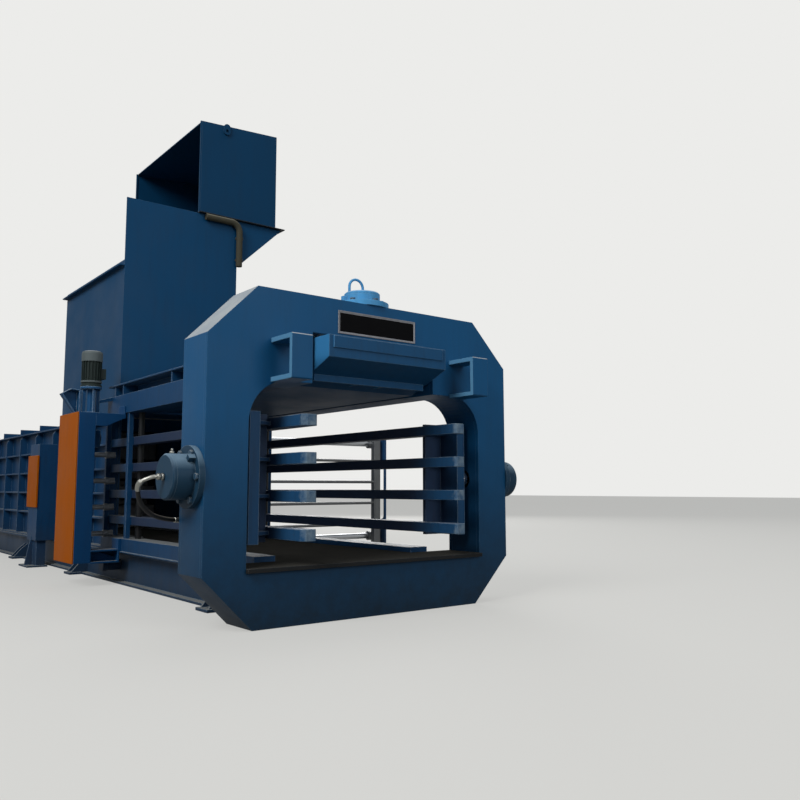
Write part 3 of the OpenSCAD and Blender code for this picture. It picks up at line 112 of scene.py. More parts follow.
world = bpy.data.worlds.new("even sky")
bpy.context.scene.world = world
world.use_nodes = True
sky = world.node_tree
sky.nodes.clear()
path = add(sky, "ShaderNodeLightPath")
straight = add(sky, "ShaderNodeMath",
               {0: path.outputs["Is Camera Ray"], 1: path.outputs["Is Transmission Ray"]},
               operation="MAXIMUM")
shiny = add(sky, "ShaderNodeMath", {0: path.outputs["Is Glossy Ray"]}, {1: mirrored_share},
            operation="MULTIPLY")
seen = add(sky, "ShaderNodeMath", {0: straight.outputs[0], 1: shiny.outputs[0]}, operation="MAXIMUM")
lit = add(sky, "ShaderNodeBackground", values={"Color": linear("#dfe6ee"), "Strength": 0.30})
pale = add(sky, "ShaderNodeBackground", values={"Color": linear("#ececea"), "Strength": 1.0})
either = add(sky, "ShaderNodeMixShader", {0: seen.outputs[0], 1: lit.outputs[0], 2: pale.outputs[0]})
add(sky, "ShaderNodeOutputWorld", {"Surface": either.outputs[0]})

for name, place, aim, size, power in (
    ("near lamp", (2.4, -9.6, 9.0), (-1.0, 0, 1.2), 6.0, 1180.0),
    ("front lamp", (9.5, 1.5, 4.5), (0, 0, 1.0), 5.0, 270.0),
    ("top lamp", (-4.0, 3.0, 11.0), (-3.0, 0, 1.5), 7.0, 380.0),
    ("back lamp", (-14.0, 9.0, 6.5), (-4.5, 0, 1.2), 7.0, 1000.0),
):
    lamp_data = bpy.data.lights.new(name, "AREA")
    lamp_data.energy = power
    lamp_data.size = size
    lamp = bpy.data.objects.new(name, lamp_data)
    lamp.location = place
    lamp.rotation_euler = (Vector(aim) - Vector(place)).to_track_quat("-Z", "Y").to_euler()
    bpy.context.scene.collection.objects.link(lamp)


# Base frame and feet: steel skids with bolted lugs, under a brushed blue enamel. It is the lowest
# and so the most soiled part, darkened towards the floor by dirt and painted shade, and rust comes through.
def worn_skin(name, hex_colour, dust_hex="#8f908c", dust=0.75, grime=0.4, rub=0.5, rub_hex="#6f8ca3",
              rub_mm=7.0, rust=0.0, roughness=0.5, gloss=0.15, cloud=0.14, soil_and_shade=0.0, soil_and_shade_hex="#3c3b37",
              soil_and_shade_top=0.45, metal=0.0, bare_from=None, darker_behind=None, painted_side_light=None):
    """The skin of a used piece, by default enamel on steel: clouds, grime, rust, rubbed edges, dust, dirt and
    painted shade low down, and painted light on sideways faces where asked.
    """
    material = bpy.data.materials.new(name)
    material.use_nodes = True
    tree = material.node_tree
    tree.nodes.clear()
    place = add(tree, "ShaderNodeTexCoord").outputs["Object"]
    facing = add(tree, "ShaderNodeNewGeometry").outputs["Normal"]
    # wide clouds in the coat, a little darker and lighter than its colour
    cloud_mm = 420
    paint = linear(hex_colour)[:3]
    darker = [c * (1 - cloud) for c in paint] + [1]
    lighter = [min(1, c * (1 + cloud)) for c in paint] + [1]
    clouds = add(tree, "ShaderNodeTexNoise", {"Vector": place},
                 {"Scale": 1000 / cloud_mm, "Detail": 5.0, "Roughness": 0.55})
    coat = add(tree, "ShaderNodeMix", {0: clouds.outputs[0]}, {6: darker, 7: lighter}, data_type="RGBA")
    # grime that has run down in long streaks
    streak_wide_mm, streak_long_mm = 50, 500
    stretch = add(tree, "ShaderNodeMapping", {"Vector": place},
                  {"Scale": (1000 / streak_wide_mm, 1000 / streak_wide_mm, 1000 / streak_long_mm)})
    runs = add(tree, "ShaderNodeTexNoise", {"Vector": stretch.outputs[0]},
               {"Scale": 1.0, "Detail": 8.0, "Roughness": 0.7})
    grimy = add(tree, "ShaderNodeMapRange", {0: runs.outputs[0]}, {1: 0.48, 2: 0.80, 3: 0.0, 4: grime})
    stained = add(tree, "ShaderNodeMix", {0: grimy.outputs[0], 6: coat.outputs[2]}, {7: linear("#20262a")},
                  data_type="RGBA")
    # dirt and splashes, thicker towards the floor, together with a painted shade that darkens the lower part
    splash_mm = 90
    axes = add(tree, "ShaderNodeSeparateXYZ", {0: place})
    splash = add(tree, "ShaderNodeTexNoise", {"Vector": place},
                 {"Scale": 1000 / splash_mm, "Detail": 7.0, "Roughness": 0.7})
    depth = add(tree, "ShaderNodeMapRange", {0: axes.outputs[2]}, {1: 0.02, 2: soil_and_shade_top, 3: 1.0, 4: 0.0})
    sullied_and_shaded = add(tree, "ShaderNodeMapRange", {0: splash.outputs[0]},
                  {1: 0.35, 2: 0.65, 3: 0.85 * soil_and_shade, 4: soil_and_shade})
    low = add(tree, "ShaderNodeMath", {0: depth.outputs[0], 1: sullied_and_shaded.outputs[0]}, operation="MULTIPLY")
    soiled = add(tree, "ShaderNodeMix", {0: low.outputs[0], 6: stained.outputs[2]}, {7: linear(soil_and_shade_hex)},
                 data_type="RGBA")
    # small chips where rust comes through
    chip_mm = 18
    chip = add(tree, "ShaderNodeTexNoise", {"Vector": place},
               {"Scale": 1000 / chip_mm, "Detail": 4.0, "Roughness": 0.65})
    chipped = add(tree, "ShaderNodeMapRange", {0: chip.outputs[0]}, {1: 0.64, 2: 0.70, 3: 0.0, 4: rust})
    rusty = add(tree, "ShaderNodeMix", {0: chipped.outputs[0], 6: soiled.outputs[2]}, {7: linear("#5a3d2b")},
                data_type="RGBA")
    # rubbed edges, where the rounded normal leaves the flat one
    touch_mm = 70
    rounded = add(tree, "ShaderNodeBevel", None, {"Radius": rub_mm / 1000}, samples=4)
    bend = add(tree, "ShaderNodeVectorMath", {0: rounded.outputs[0], 1: facing}, operation="DOT_PRODUCT")
    touch = add(tree, "ShaderNodeTexNoise", {"Vector": place},
                {"Scale": 1000 / touch_mm, "Detail": 5.0, "Roughness": 0.65})
    limit = add(tree, "ShaderNodeMapRange", {0: touch.outputs[0]}, {1: 0.3, 2: 0.7, 3: 0.82, 4: 0.995})
    short = add(tree, "ShaderNodeMath", {0: limit.outputs[0], 1: bend.outputs["Value"]}, operation="SUBTRACT")
    worn = add(tree, "ShaderNodeMapRange", {0: short.outputs[0]}, {1: 0.0, 2: 0.06, 3: 0.0, 4: rub})
    edged = add(tree, "ShaderNodeMix", {0: worn.outputs[0], 6: rusty.outputs[2]}, {7: linear(rub_hex)},
                data_type="RGBA")
    # dust on what faces up, thicker in patches
    drift_mm = 200
    up = add(tree, "ShaderNodeSeparateXYZ", {0: facing}).outputs[2]
    drift = add(tree, "ShaderNodeTexNoise", {"Vector": place},
                {"Scale": 1000 / drift_mm, "Detail": 8.0, "Roughness": 0.7})
    settle = add(tree, "ShaderNodeMapRange", {0: up}, {1: 0.30, 2: 0.75, 3: 0.0, 4: dust})
    patchy = add(tree, "ShaderNodeMapRange", {0: drift.outputs[0]}, {1: 0.25, 2: 0.60, 3: 0.72, 4: 1.0})
    dusty = add(tree, "ShaderNodeMath", {0: settle.outputs[0], 1: patchy.outputs[0]}, operation="MULTIPLY")
    skin = add(tree, "ShaderNodeMix", {0: dusty.outputs[0], 6: edged.outputs[2]}, {7: linear(dust_hex)},
               data_type="RGBA")
    rough = add(tree, "ShaderNodeMapRange", {0: clouds.outputs[0]},
                {1: 0.3, 2: 0.7, 3: roughness - 0.06, 4: roughness + 0.10})
    # brush marks and orange peel, drawn coarser than real ones so that they show
    peel_mm = 11
    peel = add(tree, "ShaderNodeTexNoise", {"Vector": place},
               {"Scale": 1000 / peel_mm, "Detail": 4.0, "Roughness": 0.6})
    bump = add(tree, "ShaderNodeBump", {"Height": peel.outputs[0], "Normal": rounded.outputs[0]},
               {"Strength": 0.12, "Distance": 0.002})
    links = {"Base Color": skin.outputs[2], "Roughness": rough.outputs[0], "Normal": bump.outputs[0]}
    values = {"Metallic": metal, "Specular IOR Level": gloss}
    if darker_behind is not None:
        # behind this X the coat is mixed towards a dark, dull violet
        start, behind_hex, amount = darker_behind
        behind = add(tree, "ShaderNodeMapRange", {0: axes.outputs[0]},
                     {1: start, 2: start - 0.25, 3: 0.0, 4: amount})
        behind_tone = add(tree, "ShaderNodeMix", {0: behind.outputs[0], 6: links["Base Color"]},
                    {7: linear(behind_hex)}, data_type="RGBA")
        links["Base Color"] = behind_tone.outputs[2]
    if painted_side_light is not None:
        # painted light: faces turned sideways, in front of this X, are painted paler as if lit
        start, side_light_hex, amount = painted_side_light
        across = add(tree, "ShaderNodeSeparateXYZ", {0: facing}).outputs[1]
        sideways = add(tree, "ShaderNodeMath", {0: across}, operation="ABSOLUTE")
        flank = add(tree, "ShaderNodeMapRange", {0: sideways.outputs[0]},
                    {1: 0.80, 2: 0.95, 3: 0.0, 4: amount})
        ahead = add(tree, "ShaderNodeMath", {0: axes.outputs[0]}, {1: start}, operation="GREATER_THAN")
        both = add(tree, "ShaderNodeMath", {0: flank.outputs[0], 1: ahead.outputs[0]}, operation="MULTIPLY")
        side_light_tone = add(tree, "ShaderNodeMix", {0: both.outputs[0], 6: links["Base Color"]},
                        {7: linear(side_light_hex)}, data_type="RGBA")
        links["Base Color"] = side_light_tone.outputs[2]
    if bare_from is not None:
        # the paint is worn down to steel in front of this X, with a ragged border
        scrape_mm = 45
        scrape = add(tree, "ShaderNodeTexNoise", {"Vector": place},
                     {"Scale": 1000 / scrape_mm, "Detail": 5.0, "Roughness": 0.6})
        reach = add(tree, "ShaderNodeMath", {0: axes.outputs[0]}, {1: bare_from}, operation="SUBTRACT")
        ragged = add(tree, "ShaderNodeMapRange", {0: scrape.outputs[0]}, {1: 0.3, 2: 0.7, 3: -0.045, 4: 0.02})
        past = add(tree, "ShaderNodeMath", {0: reach.outputs[0], 1: ragged.outputs[0]}, operation="SUBTRACT")
        bare = add(tree, "ShaderNodeMapRange", {0: past.outputs[0]}, {1: 0.0, 2: 0.07, 3: 0.0, 4: 0.75})
        bright = add(tree, "ShaderNodeMix", {0: bare.outputs[0], 6: links["Base Color"]},
                     {7: linear("#7d8f99")}, data_type="RGBA")
        links["Base Color"] = bright.outputs[2]
    shader = add(tree, "ShaderNodeBsdfPrincipled", links, values)
    add(tree, "ShaderNodeOutputMaterial", {"Surface": shader.outputs[0]})
    return material


def coat_nodes(material, *names):
    """Gives nodes of the CAD part one material."""
    for name in names:
        slots = nodes[name].data.materials
        slots.clear()
        slots.append(material)


base_enamel = worn_skin("brushed enamel, soiled base blue", "#123a5c", dust=0.85, grime=0.55, rub=0.6,
                        rust=0.5, soil_and_shade=0.55, soil_and_shade_hex="#2c3238")
coat_nodes(base_enamel, "base_frame", "foot_lugs")

# Channel: flame-cut side beams and a roof of plate, welded into one box. The enamel is older here
# and scratched in use, and pale dust lies along every flange.
channel_enamel = worn_skin("brushed enamel, channel blue", "#123f66", dust=0.8, grime=0.5, rub=0.85,
                           rub_hex="#7f93a4", rust=0.35, soil_and_shade=0.5)
coat_nodes(channel_enamel, "channel_side_near", "channel_side_far", "channel_roof")

# Portal: two octagonal plates with a wrap of 25 mm plate round them and a liner round the opening,
# sprayed in one even blue. Pale dust has settled on its upper slopes. A painted shade darkens its lower part,
# and painted light makes its sideways faces in front paler.
portal_enamel = worn_skin("sprayed enamel, portal blue", "#0f4f7b", dust_hex="#a9adac", dust=0.95, grime=0.14,
                          rub=0.45, rub_hex="#54809f", rust=0.08, cloud=0.08, soil_and_shade=0.95,
                          soil_and_shade_hex="#11212e", soil_and_shade_top=1.25, roughness=0.46,
                          painted_side_light=(0.165, "#5f92b4", 0.75))
coat_nodes(portal_enamel, "portal_front_plate", "portal_rear_plate", "portal_liner", "portal_wrap")

# Doors: four thick beams a side and a pressure lid on top, hinged behind the portal. The beams'
# front ends are rubbed down to bright steel.
door_enamel = worn_skin("rubbed enamel, door blue", "#1f4a70", dust_hex="#7b8797", dust=0.7, grime=0.45,
                        rub=0.9, rub_hex="#8ba0b0", rub_mm=9.0, rust=0.25, bare_from=0.30,
                        darker_behind=(0.10, "#282838", 0.72))
coat_nodes(door_enamel, "near_door", "far_door")
# painted light: the lid's sideways faces, its cheeks, are painted paler as if lit
lid_enamel = worn_skin("rubbed enamel, lid blue", "#164a72", dust=0.6, grime=0.3, rub=0.55,
                       rub_hex="#7fa5c0", rub_mm=8.0, rust=0.1, painted_side_light=(-0.2, "#3b83b6", 0.75))
coat_nodes(lid_enamel, "top_door")

# Ram chamber and rear end: ribbed walls, a roof and the crosshead that takes the ram's thrust. The
# ram's body, the post, the needle guide and two barrels have the same brushed enamel.
chamber_enamel = worn_skin("brushed enamel, chamber blue", "#123d63", dust=0.8, grime=0.55, rub=0.7,
                           rust=0.4, soil_and_shade=0.5)
coat_nodes(chamber_enamel, "side_wall_near", "side_wall_far", "chamber_roof", "rear_crosshead",
           "main_barrel", "ram_body", "side_post", "needle_guide", "needle_barrel")

# Hopper: sheet steel in large flat panels, sprayed, with a soiled seam flange between chute and
# hood and a bent steel conduit that has gone brown with dust.
chute_enamel = worn_skin("sprayed enamel, chute blue", "#073e63", dust=0.5, grime=0.2, rub=0.3, rub_mm=4.0,
                         cloud=0.10, gloss=0.12)
coat_nodes(chute_enamel, "hopper_chute")
hood_enamel = worn_skin("sprayed enamel, hood blue", "#063758", dust=0.5, grime=0.15, rub=0.3,
                        rub_hex="#4f5f6a", rub_mm=5.0, cloud=0.08, gloss=0.10)
coat_nodes(hood_enamel, "hopper_hood")
seam_paint = worn_skin("soiled seam", "#10181f", dust=0.4, dust_hex="#5a5852", grime=0.6, rub=0.4,
                       rub_hex="#46515a", rust=0.3)
coat_nodes(seam_paint, "hopper_seam")
conduit_skin = worn_skin("dusty zinc conduit", "#403e33", dust_hex="#7c786a", dust=0.8, grime=0.5, rub=0.5,
                         rub_hex="#83806f", rust=0.5, roughness=0.7)
coat_nodes(conduit_skin, "hopper_conduit")

# Clamp cylinders: turned steel tube with a bolted flange. The two on the sides are greyed by dust
# over a dull blue, the one on top keeps a sky blue.
side_cylinder_enamel = worn_skin("dusty enamel, cylinder grey blue", "#1c3a50", dust_hex="#7790a2",
                                 dust=0.75, grime=0.3, rub=0.55, rub_hex="#7e93a2", rub_mm=6.0, rust=0.1)
coat_nodes(side_cylinder_enamel, "near_clamp_barrel", "near_clamp_cap", "far_clamp_barrel", "far_clamp_cap")
top_cylinder_enamel = worn_skin("enamel, sky blue", "#4a93c6", dust_hex="#a9bccb", dust=0.5, grime=0.3,
                                rub=0.5, rub_hex="#9cc4de", rub_mm=5.0)
coat_nodes(top_cylinder_enamel, "top_clamp_barrel", "top_clamp_cap")

# Bare and plated steel: rolled plate, ground knives, cut gears and pins, dulled by oil and dust,
# rods in hard chrome, and flange bolts under a coat of paint.
bare_steel = worn_skin("worn mild steel", "#6a6c6e", dust=0.3, grime=0.5, rub=0.5, rub_hex="#a7a9aa",
                       rust=0.5, roughness=0.42, gloss=0.5, metal=0.75)
# the channel's floor plate lies under a film of dust, so it is matt even when seen at a low angle
floor_steel = worn_skin("floor plate, oiled and dusty", "#2b2c2d", dust_hex="#45433e", dust=0.7, grime=0.5,
                        rub=0.4, rub_hex="#6d6e6e", rust=0.5, roughness=0.88, gloss=0.0)
coat_nodes(floor_steel, "channel_floor")
coat_nodes(bare_steel, "ram_rails", "fixed_knife", "ram_head", "ram_knife", "main_gland",
           "main_rear_cap", "needle_carriage")
cut_steel = worn_skin("cut gear steel, oiled", "#84878a", dust=0.2, grime=0.35, rub=0.6,
                      rub_hex="#bcbfc1", rust=0.05, roughness=0.36, gloss=0.5, metal=0.8)
coat_nodes(cut_steel, "drive_pinion", "twister_1", "twister_2", "twister_3", "twister_4")
greased_steel = worn_skin("greased pin steel", "#17181a", dust=0.4, grime=0.6, rub=0.3, rub_hex="#4a4d4f",
                          roughness=0.45, gloss=0.25, metal=0.2)
coat_nodes(greased_steel, "hinge_pins")
bolt_steel = worn_skin("painted-over bolts", "#2a4960", dust=0.5, grime=0.4, rub=0.7, rub_hex="#8d989f",
                       rust=0.4, roughness=0.45, gloss=0.3)
coat_nodes(bolt_steel, "clamp_flange_bolts")
chrome = worn_skin("hard chrome", "#b9bcc0", dust=0.1, grime=0.12, rub=0.1, rub_hex="#d5d7d9",
                   roughness=0.18, gloss=0.5, metal=1.0, cloud=0.04)
coat_nodes(chrome, "main_rod", "near_rod", "far_rod", "top_rod", "needle_rails")

# Tie unit: a folded case with an orange guard on its outer side, arms to the channel, a cast
# gearbox with a scoop, and a finned motor. All are painted, the guard in safety orange.
case_enamel = worn_skin("brushed enamel, case blue", "#0b3f6b", dust=0.7, grime=0.25, rub=0.6,
                        rub_hex="#5d83a2", rust=0.1)
coat_nodes(case_enamel, "tie_case", "tie_arms")
scoop_enamel = worn_skin("rubbed enamel, gearbox blue", "#174a74", dust=0.8, grime=0.3, rub=0.95,
                         rub_hex="#9fb6c8", rub_mm=10.0, rust=0.2)
coat_nodes(scoop_enamel, "tie_gearbox")
guard_enamel = worn_skin("enamel, safety orange", "#a85400", dust=0.5, grime=0.2, rub=0.6,
                         rub_hex="#c99a5c", rub_mm=6.0, cloud=0.10, gloss=0.04)
coat_nodes(guard_enamel, "tie_guard", "post_cover")
motor_enamel = worn_skin("grey green motor enamel", "#222d2b", dust_hex="#8a8c8c", dust=0.9, grime=0.4,
                         rub=0.5, rub_hex="#5a6362", rub_mm=3.0, roughness=0.5, gloss=0.15)
coat_nodes(motor_enamel, "tie_motor")

# Nameplate: a bare black plate in a thin pale rim, fixed flat on the portal's top beam.
def finish_piece(shape, name, material, body, smooth=False):
    """Closes a bmesh into an object that rides on a body and takes a finish."""
    mesh = bpy.data.meshes.new(name)
    bmesh.ops.recalc_face_normals(shape, faces=shape.faces)
    if smooth:
        for face in shape.faces:
            face.smooth = len(face.verts) == 4
    shape.to_mesh(mesh)
    shape.free()
    mesh.materials.append(material)
    piece = bpy.data.objects.new(name, mesh)
    bpy.context.scene.collection.objects.link(piece)
    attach(piece, body)
    return piece


def slab(low, high, bevel=0.0):
    """A block between two corners, its edges rounded where a bevel is given."""
    shape = bmesh.new()
    bmesh.ops.create_cube(shape, size=1.0)
    bmesh.ops.scale(shape, vec=high - low, verts=shape.verts)
    bmesh.ops.translate(shape, vec=(low + high) / 2, verts=shape.verts)
    if bevel:
        bmesh.ops.bevel(shape, geom=shape.edges[:], offset=bevel, segments=2, profile=0.5,
                        affect="EDGES", material=-1)
    return shape


portal_plate = 0.030
plate_thick = 0.006
rim_wide, rim_deep, rim_round = 0.014, 0.003, 0.002
field_back, field_front, field_inset, field_round = 0.001, 0.0015, 0.015, 0.0005
front_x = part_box("portal_liner")[1].x + portal_plate
plate_low = Vector((front_x, -0.303, 1.787))
plate_high = Vector((front_x + plate_thick, 0.329, 1.937))
rim_alloy = worn_skin("plate rim, dulled aluminium", "#8c8c90", dust=0.4, grime=0.3, rub=0.3,
                      rub_hex="#b8babd", metal=0.2, cloud=0.06)
black_enamel = worn_skin("nameplate, black enamel", "#020204", dust=0.2, grime=0.0, rub=0.1,
                         rub_hex="#2a2c30", roughness=0.6, gloss=0.06, cloud=0.05)
rim = slab(plate_low, plate_high, rim_round)
front_face = max(rim.faces, key=lambda face: face.calc_center_median().x)
bmesh.ops.inset_region(rim, faces=[front_face], thickness=rim_wide)
bmesh.ops.translate(rim, vec=(-rim_deep, 0, 0), verts=front_face.verts)
finish_piece(rim, "nameplate_rim", rim_alloy, "frame")
field_low = plate_low + Vector((field_back, field_inset, field_inset))
field_high = plate_high + Vector((-field_front, -field_inset, -field_inset))
field = slab(field_low, field_high, field_round)
finish_piece(field, "nameplate_field", black_enamel, "frame")

# Lid strip: a flat bar welded along the top of the lid's front face, between the two cheeks. It
# has the lid's own enamel, and its lower edge throws a thin shadow.
cheek_plate = 0.030
strip_top, strip_height = 1.7345, 0.075
strip_sunk, strip_proud, strip_round = 0.001, 0.009, 0.002
lid_low, lid_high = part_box("top_door")
strip_low = Vector((lid_high.x - strip_sunk, lid_low.y + cheek_plate, strip_top - strip_height))
strip_high = Vector((lid_high.x + strip_proud, lid_high.y - cheek_plate, strip_top))
strip = slab(strip_low, strip_high, strip_round)
finish_piece(strip, "lid_strip", lid_enamel, "top_door")


# Clamp hoses: 26 mm steel-braided rubber hoses, one from each side cylinder's cap round to the
# portal's rear plate. They are crimped into sleeves, and bent steel elbows turn them at both ends.
def smooth_route(points, steps):
    """Points on a smooth curve through the given ones, as a hose bends."""
    route = []
    for i in range(len(points) - 1):
        before, start = points[max(i - 1, 0)], points[i]
        end, after = points[i + 1], points[min(i + 2, len(points) - 1)]
        for step in range(steps):
            t = step / steps
            route.append(0.5 * (2 * start + t * (end - before)
                                + t * t * (2 * before - 5 * start + 4 * end - after)
                                + t * t * t * (3 * start - before - 3 * end + after)))
    return route + [points[-1]]


def sweep_ring(shape, route, radii, sides=20):
    """A closed tube along a route: one ring of edges is extruded from point to point."""
    last = len(route) - 1
    ways = [(route[min(i + 1, last)] - route[max(i - 1, 0)]).normalized() for i in range(last + 1)]
    turn = ways[0].to_track_quat("Z", "Y").to_matrix().to_4x4()
    start = bmesh.ops.create_circle(shape, cap_ends=True, segments=sides, radius=radii[0],
                                    matrix=Matrix.Translation(route[0]) @ turn)
    ring = list({edge for vert in start["verts"] for edge in vert.link_edges})
    for i in range(1, last + 1):
        grown = bmesh.ops.extrude_edge_only(shape, edges=ring)["geom"]
        verts = [part for part in grown if isinstance(part, bmesh.types.BMVert)]
        ring = [part for part in grown if isinstance(part, bmesh.types.BMEdge)]
        bend = ways[i - 1].rotation_difference(ways[i]).to_matrix().to_4x4()
        size = Matrix.Scale(radii[i] / radii[i - 1], 4)
        bmesh.ops.transform(shape, verts=verts, matrix=Matrix.Translation(route[i]) @ bend @ size
                            @ Matrix.Translation(-route[i - 1]))
    bmesh.ops.contextual_create(shape, geom=ring)


def hex_nut(shape, place, way, across, height):
    """A hexagon with broken corners, its foot at a place and its axis along a way."""
    corner = across * 0.577
    turn = way.to_track_quat("Z", "Y").to_matrix().to_4x4()
    made = bmesh.ops.create_cone(shape, cap_ends=True, segments=6, radius1=corner, radius2=corner,
                                 depth=height, matrix=Matrix.Translation(place + way * height / 2) @ turn)
    rims = [edge for edge in {edge for vert in made["verts"] for edge in vert.link_edges}
            if abs((edge.verts[0].co - edge.verts[1].co).dot(way)) < 1e-6]
    bmesh.ops.bevel(shape, geom=rims, offset=across * 0.05, segments=1, profile=0.5, affect="EDGES",
                    material=-1)


hose_radius = 0.013
elbow_radius = hose_radius - 0.0025
sleeve_ridge, sleeve_groove, sleeve_steps = 0.0155, 0.0142, 4
port_hex, port_height = 0.036, 0.014
neck_hex, neck_height = 0.032, 0.028
union_hex, union_height, union_back = 0.030, 0.018, 0.014
clamp_axis_z = 0.8715
rear_port_y, rear_port_z = -1.040, 0.618
cap_face_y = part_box("near_clamp_cap")[0].y
rear_face_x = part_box("portal_rear_plate")[0].x
# the route's points are listed from the cap round to the rear plate
hose_points = [Vector(point) for point in (
    (0, cap_face_y - 0.040, clamp_axis_z), (-0.006, cap_face_y - 0.072, clamp_axis_z - 0.004),
    (-0.040, -1.476, 0.838), (-0.080, -1.470, 0.785), (-0.118, -1.436, 0.722), (-0.150, -1.374, 0.668),
    (-0.186, -1.296, 0.638), (-0.222, -1.210, 0.624), (-0.248, -1.130, 0.618), (-0.240, -1.066, 0.618),
    (-0.216, rear_port_y, rear_port_z), (rear_face_x - 0.040, rear_port_y, rear_port_z))]
route_steps = 5
whole = smooth_route(hose_points, route_steps)
# rubber runs from the third point to the ninth, and steel elbows take the rest
rubber_from, rubber_to = 2 * route_steps, 8 * route_steps
first_elbow = whole[:rubber_from + 1]
hose_line = whole[rubber_from:rubber_to + 1]
last_elbow = whole[rubber_to:]
hose_rubber = worn_skin("hydraulic hose rubber", "#131416", dust=0.6, dust_hex="#6d675c", grime=0.3,
                        rub=0.2, rub_hex="#3a3b3d", roughness=0.6, gloss=0.4)
plated = worn_skin("zinc-plated steel", "#a3a39c", dust=0.2, grime=0.5, rub=0.3, rub_hex="#c8c8c2",
                   roughness=0.26, gloss=0.5, metal=0.9)
both_elbows = bmesh.new()
for side, owner in ((1, "near"), (-1, "far")):
    mirrored = Matrix.Diagonal((1, side, 1, 1))
    hose_shape = bmesh.new()
    sweep_ring(hose_shape, hose_line, [hose_radius] * len(hose_line))
    bmesh.ops.transform(hose_shape, verts=hose_shape.verts, matrix=mirrored)
    hose = finish_piece(hose_shape, owner + "_hose_rubber", hose_rubber, "frame", smooth=True)
    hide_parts(owner + "_hose")
    half = bmesh.new()
    for line in (first_elbow, last_elbow):
        sweep_ring(half, line, [elbow_radius] * len(line), sides=16)
    # crimped sleeves at the hose's two ends, with a groove at each point of its route
    for line in (hose_line[:5], hose_line[:-6:-1]):
        fine = smooth_route(line, sleeve_steps)
        sleeve_radii = [sleeve_ridge if i % sleeve_steps else sleeve_groove for i in range(len(fine))]
        sweep_ring(half, fine, sleeve_radii, sides=16)
    # two hexagons at each port: 1 mm off the cap's face, and 1 mm inside the rear plate's
    out, back = Vector((0, -1, 0)), Vector((-1, 0, 0))
    hex_nut(half, Vector((0, cap_face_y - 0.001, clamp_axis_z)), out, port_hex, port_height)
    hex_nut(half, Vector((0, cap_face_y - 0.013, clamp_axis_z)), out, neck_hex, neck_height)
    hex_nut(half, Vector((rear_face_x + 0.001, rear_port_y, rear_port_z)), back, port_hex, port_height)
    hex_nut(half, Vector((rear_face_x - 0.013, rear_port_y, rear_port_z)), back, neck_hex, neck_height)
    # a union nut where each elbow meets its sleeve
    for line, at in ((first_elbow, -1), (last_elbow, 0)):
        way = (line[-1] - line[-2]).normalized() if at else (line[0] - line[1]).normalized()
        hex_nut(half, line[at] - way * union_back, way, union_hex, union_height)
    bmesh.ops.transform(half, verts=half.verts, matrix=mirrored)
    kept = bpy.data.meshes.new("half")
    half.to_mesh(kept)
    half.free()
    both_elbows.from_mesh(kept)
    bpy.data.meshes.remove(kept)
elbows = finish_piece(both_elbows, "hose_elbows", plated, "frame", smooth=True)
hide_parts("hose_fittings")

# Bleed screws: a small plated hexagon with a nipple in the top of each side cylinder's barrel.
barrel_radius = 0.131
bleed_inward, bleed_sunk = 0.043, 0.002
bleed_hex, bleed_height = 0.026, 0.014
nipple_heights = (0.012, 0.018, 0.024, 0.030)
nipple_radii = [0.006, 0.006, 0.008, 0.005]
bleeds = bmesh.new()
for side in (1, -1):
    foot = Vector((0, side * (cap_face_y + bleed_inward), clamp_axis_z + barrel_radius - bleed_sunk))
    hex_nut(bleeds, foot, Vector((0, 0, 1)), bleed_hex, bleed_height)
    nipple = [foot + Vector((0, 0, height)) for height in nipple_heights]
    sweep_ring(bleeds, nipple, nipple_radii, sides=12)
finish_piece(bleeds, "bleed_screws", plated, "frame", smooth=True)

# Motor cowl and flange lip: a pressed steel fan cover and the end shield's machined rim, both of a
# paler grey than the ribbed body. Three rings and four spokes guard the fan's air hole on top.
motor_low, motor_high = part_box("tie_motor")
motor_axis = Vector((-2.85007, -0.890, 0))
motor_radius = (motor_high.x - motor_low.x) / 2 - 0.004
cowl_enamel = worn_skin("pale grey sheet enamel", "#565f60", dust_hex="#9a9d9d", dust=0.8, grime=0.3,
                        rub=0.5, rub_hex="#8b9292", rub_mm=3.0, roughness=0.5)


def spun_ring(shape, profile, centre, steps=48):
    """A profile of (radius, height) points turned once round the upright axis through a centre."""
    verts = [shape.verts.new(centre + Vector((r, 0, z))) for r, z in profile]
    edges = [shape.edges.new(pair) for pair in zip(verts, verts[1:])]
    bmesh.ops.spin(shape, geom=verts + edges, cent=centre, axis=(0, 0, 1), dvec=(0, 0, 0),
                   angle=2 * math.pi, steps=steps, use_merge=True, use_duplicate=False)
    bmesh.ops.remove_doubles(shape, verts=shape.verts, dist=1e-6)


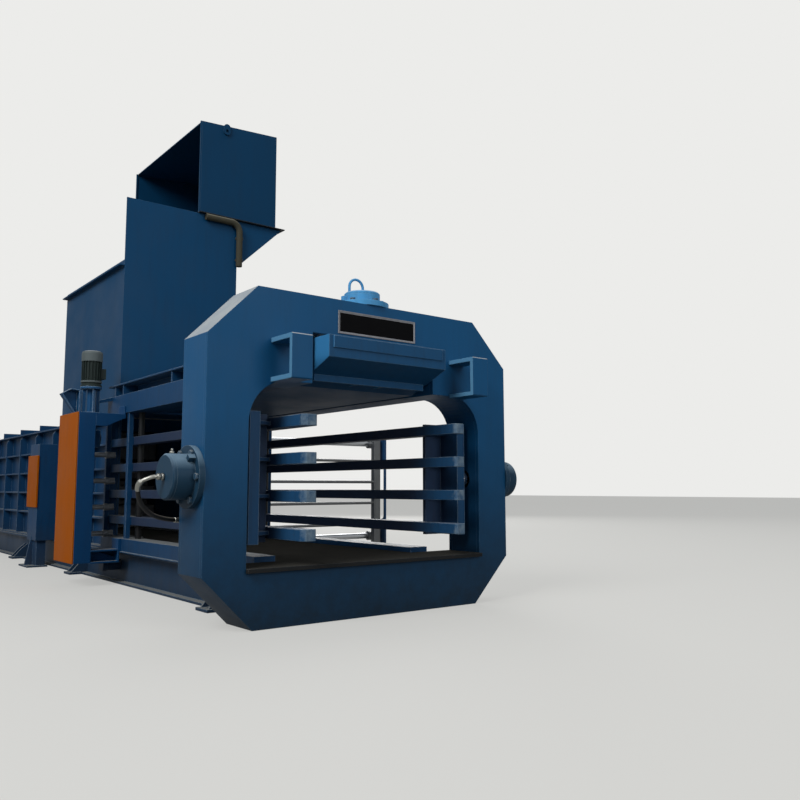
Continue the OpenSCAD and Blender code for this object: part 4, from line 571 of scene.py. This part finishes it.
top = motor_high.z
rim_r = motor_radius + 0.0035
cowl_wall, cowl_height = 0.004, 0.094
shoulder_drop, crown_drop, hole_r = 0.023, 0.0065, 0.052
ring_low, ring_high, ring_wide = 0.002, 0.001, 0.005
spoke_half, spoke_from, spoke_to, spoke_high = 0.0025, 0.010, 0.053, 0.0012
cowl = bmesh.new()
spun_ring(cowl, [(rim_r - cowl_wall, top - cowl_height), (rim_r, top - cowl_height),
                 (rim_r, top - shoulder_drop), (motor_radius - 0.002, top - crown_drop),
                 (motor_radius - 0.021, top + ring_high), (hole_r, top + ring_high),
                 (hole_r, top - 0.003)], motor_axis)
for ring_r in (0.018, 0.030, 0.042):
    spun_ring(cowl, [(ring_r, top - ring_low), (ring_r, top + ring_high),
                     (ring_r + ring_wide, top + ring_high), (ring_r + ring_wide, top - ring_low),
                     (ring_r, top - ring_low)], motor_axis)
for quarter in range(4):
    spoke = slab(Vector((spoke_from, -spoke_half, -ring_low)), Vector((spoke_to, spoke_half, spoke_high)))
    turned = Matrix.Rotation(math.radians(45 + 90 * quarter), 4, "Z")
    lifted = Matrix.Translation(motor_axis + Vector((0, 0, top)))
    bmesh.ops.transform(spoke, verts=spoke.verts, matrix=lifted @ turned)
    kept = bpy.data.meshes.new("spoke")
    spoke.to_mesh(kept)
    spoke.free()
    cowl.from_mesh(kept)
    bpy.data.meshes.remove(kept)
lip_low = motor_low.z + 0.035
lip_high = lip_low + 0.016
lip_inner = motor_radius - 0.008
spun_ring(cowl, [(lip_inner, lip_low), (rim_r, lip_low), (rim_r, lip_high), (lip_inner, lip_high)],
          motor_axis)
finish_piece(cowl, "motor_cowl", cowl_enamel, "frame")

# Rear cap bolts: twelve painted-over heads, 46 mm across flats as on M30 bolts, hold the main
# cylinder's rear cap to its barrel.
cap_bolt_count = 12
cap_bolt_inset = 0.034
cap_bolt_hex, cap_bolt_height = 0.046, 0.020
cap_low, cap_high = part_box("main_rear_cap")
cap_radius = (cap_high.y - cap_low.y) / 2
cap_middle = Vector((cap_low.x + 0.020, 0, (cap_low.z + cap_high.z) / 2))
cap_bolts = bmesh.new()
for number in range(cap_bolt_count):
    angle = math.radians(360 / cap_bolt_count * (number + 0.5))
    spot = cap_middle + (cap_radius - cap_bolt_inset) * Vector((0, math.cos(angle), math.sin(angle)))
    hex_nut(cap_bolts, spot + Vector((0.001, 0, 0)), Vector((-1, 0, 0)), cap_bolt_hex, cap_bolt_height)
finish_piece(cap_bolts, "rear_cap_bolts", bolt_steel, "frame")
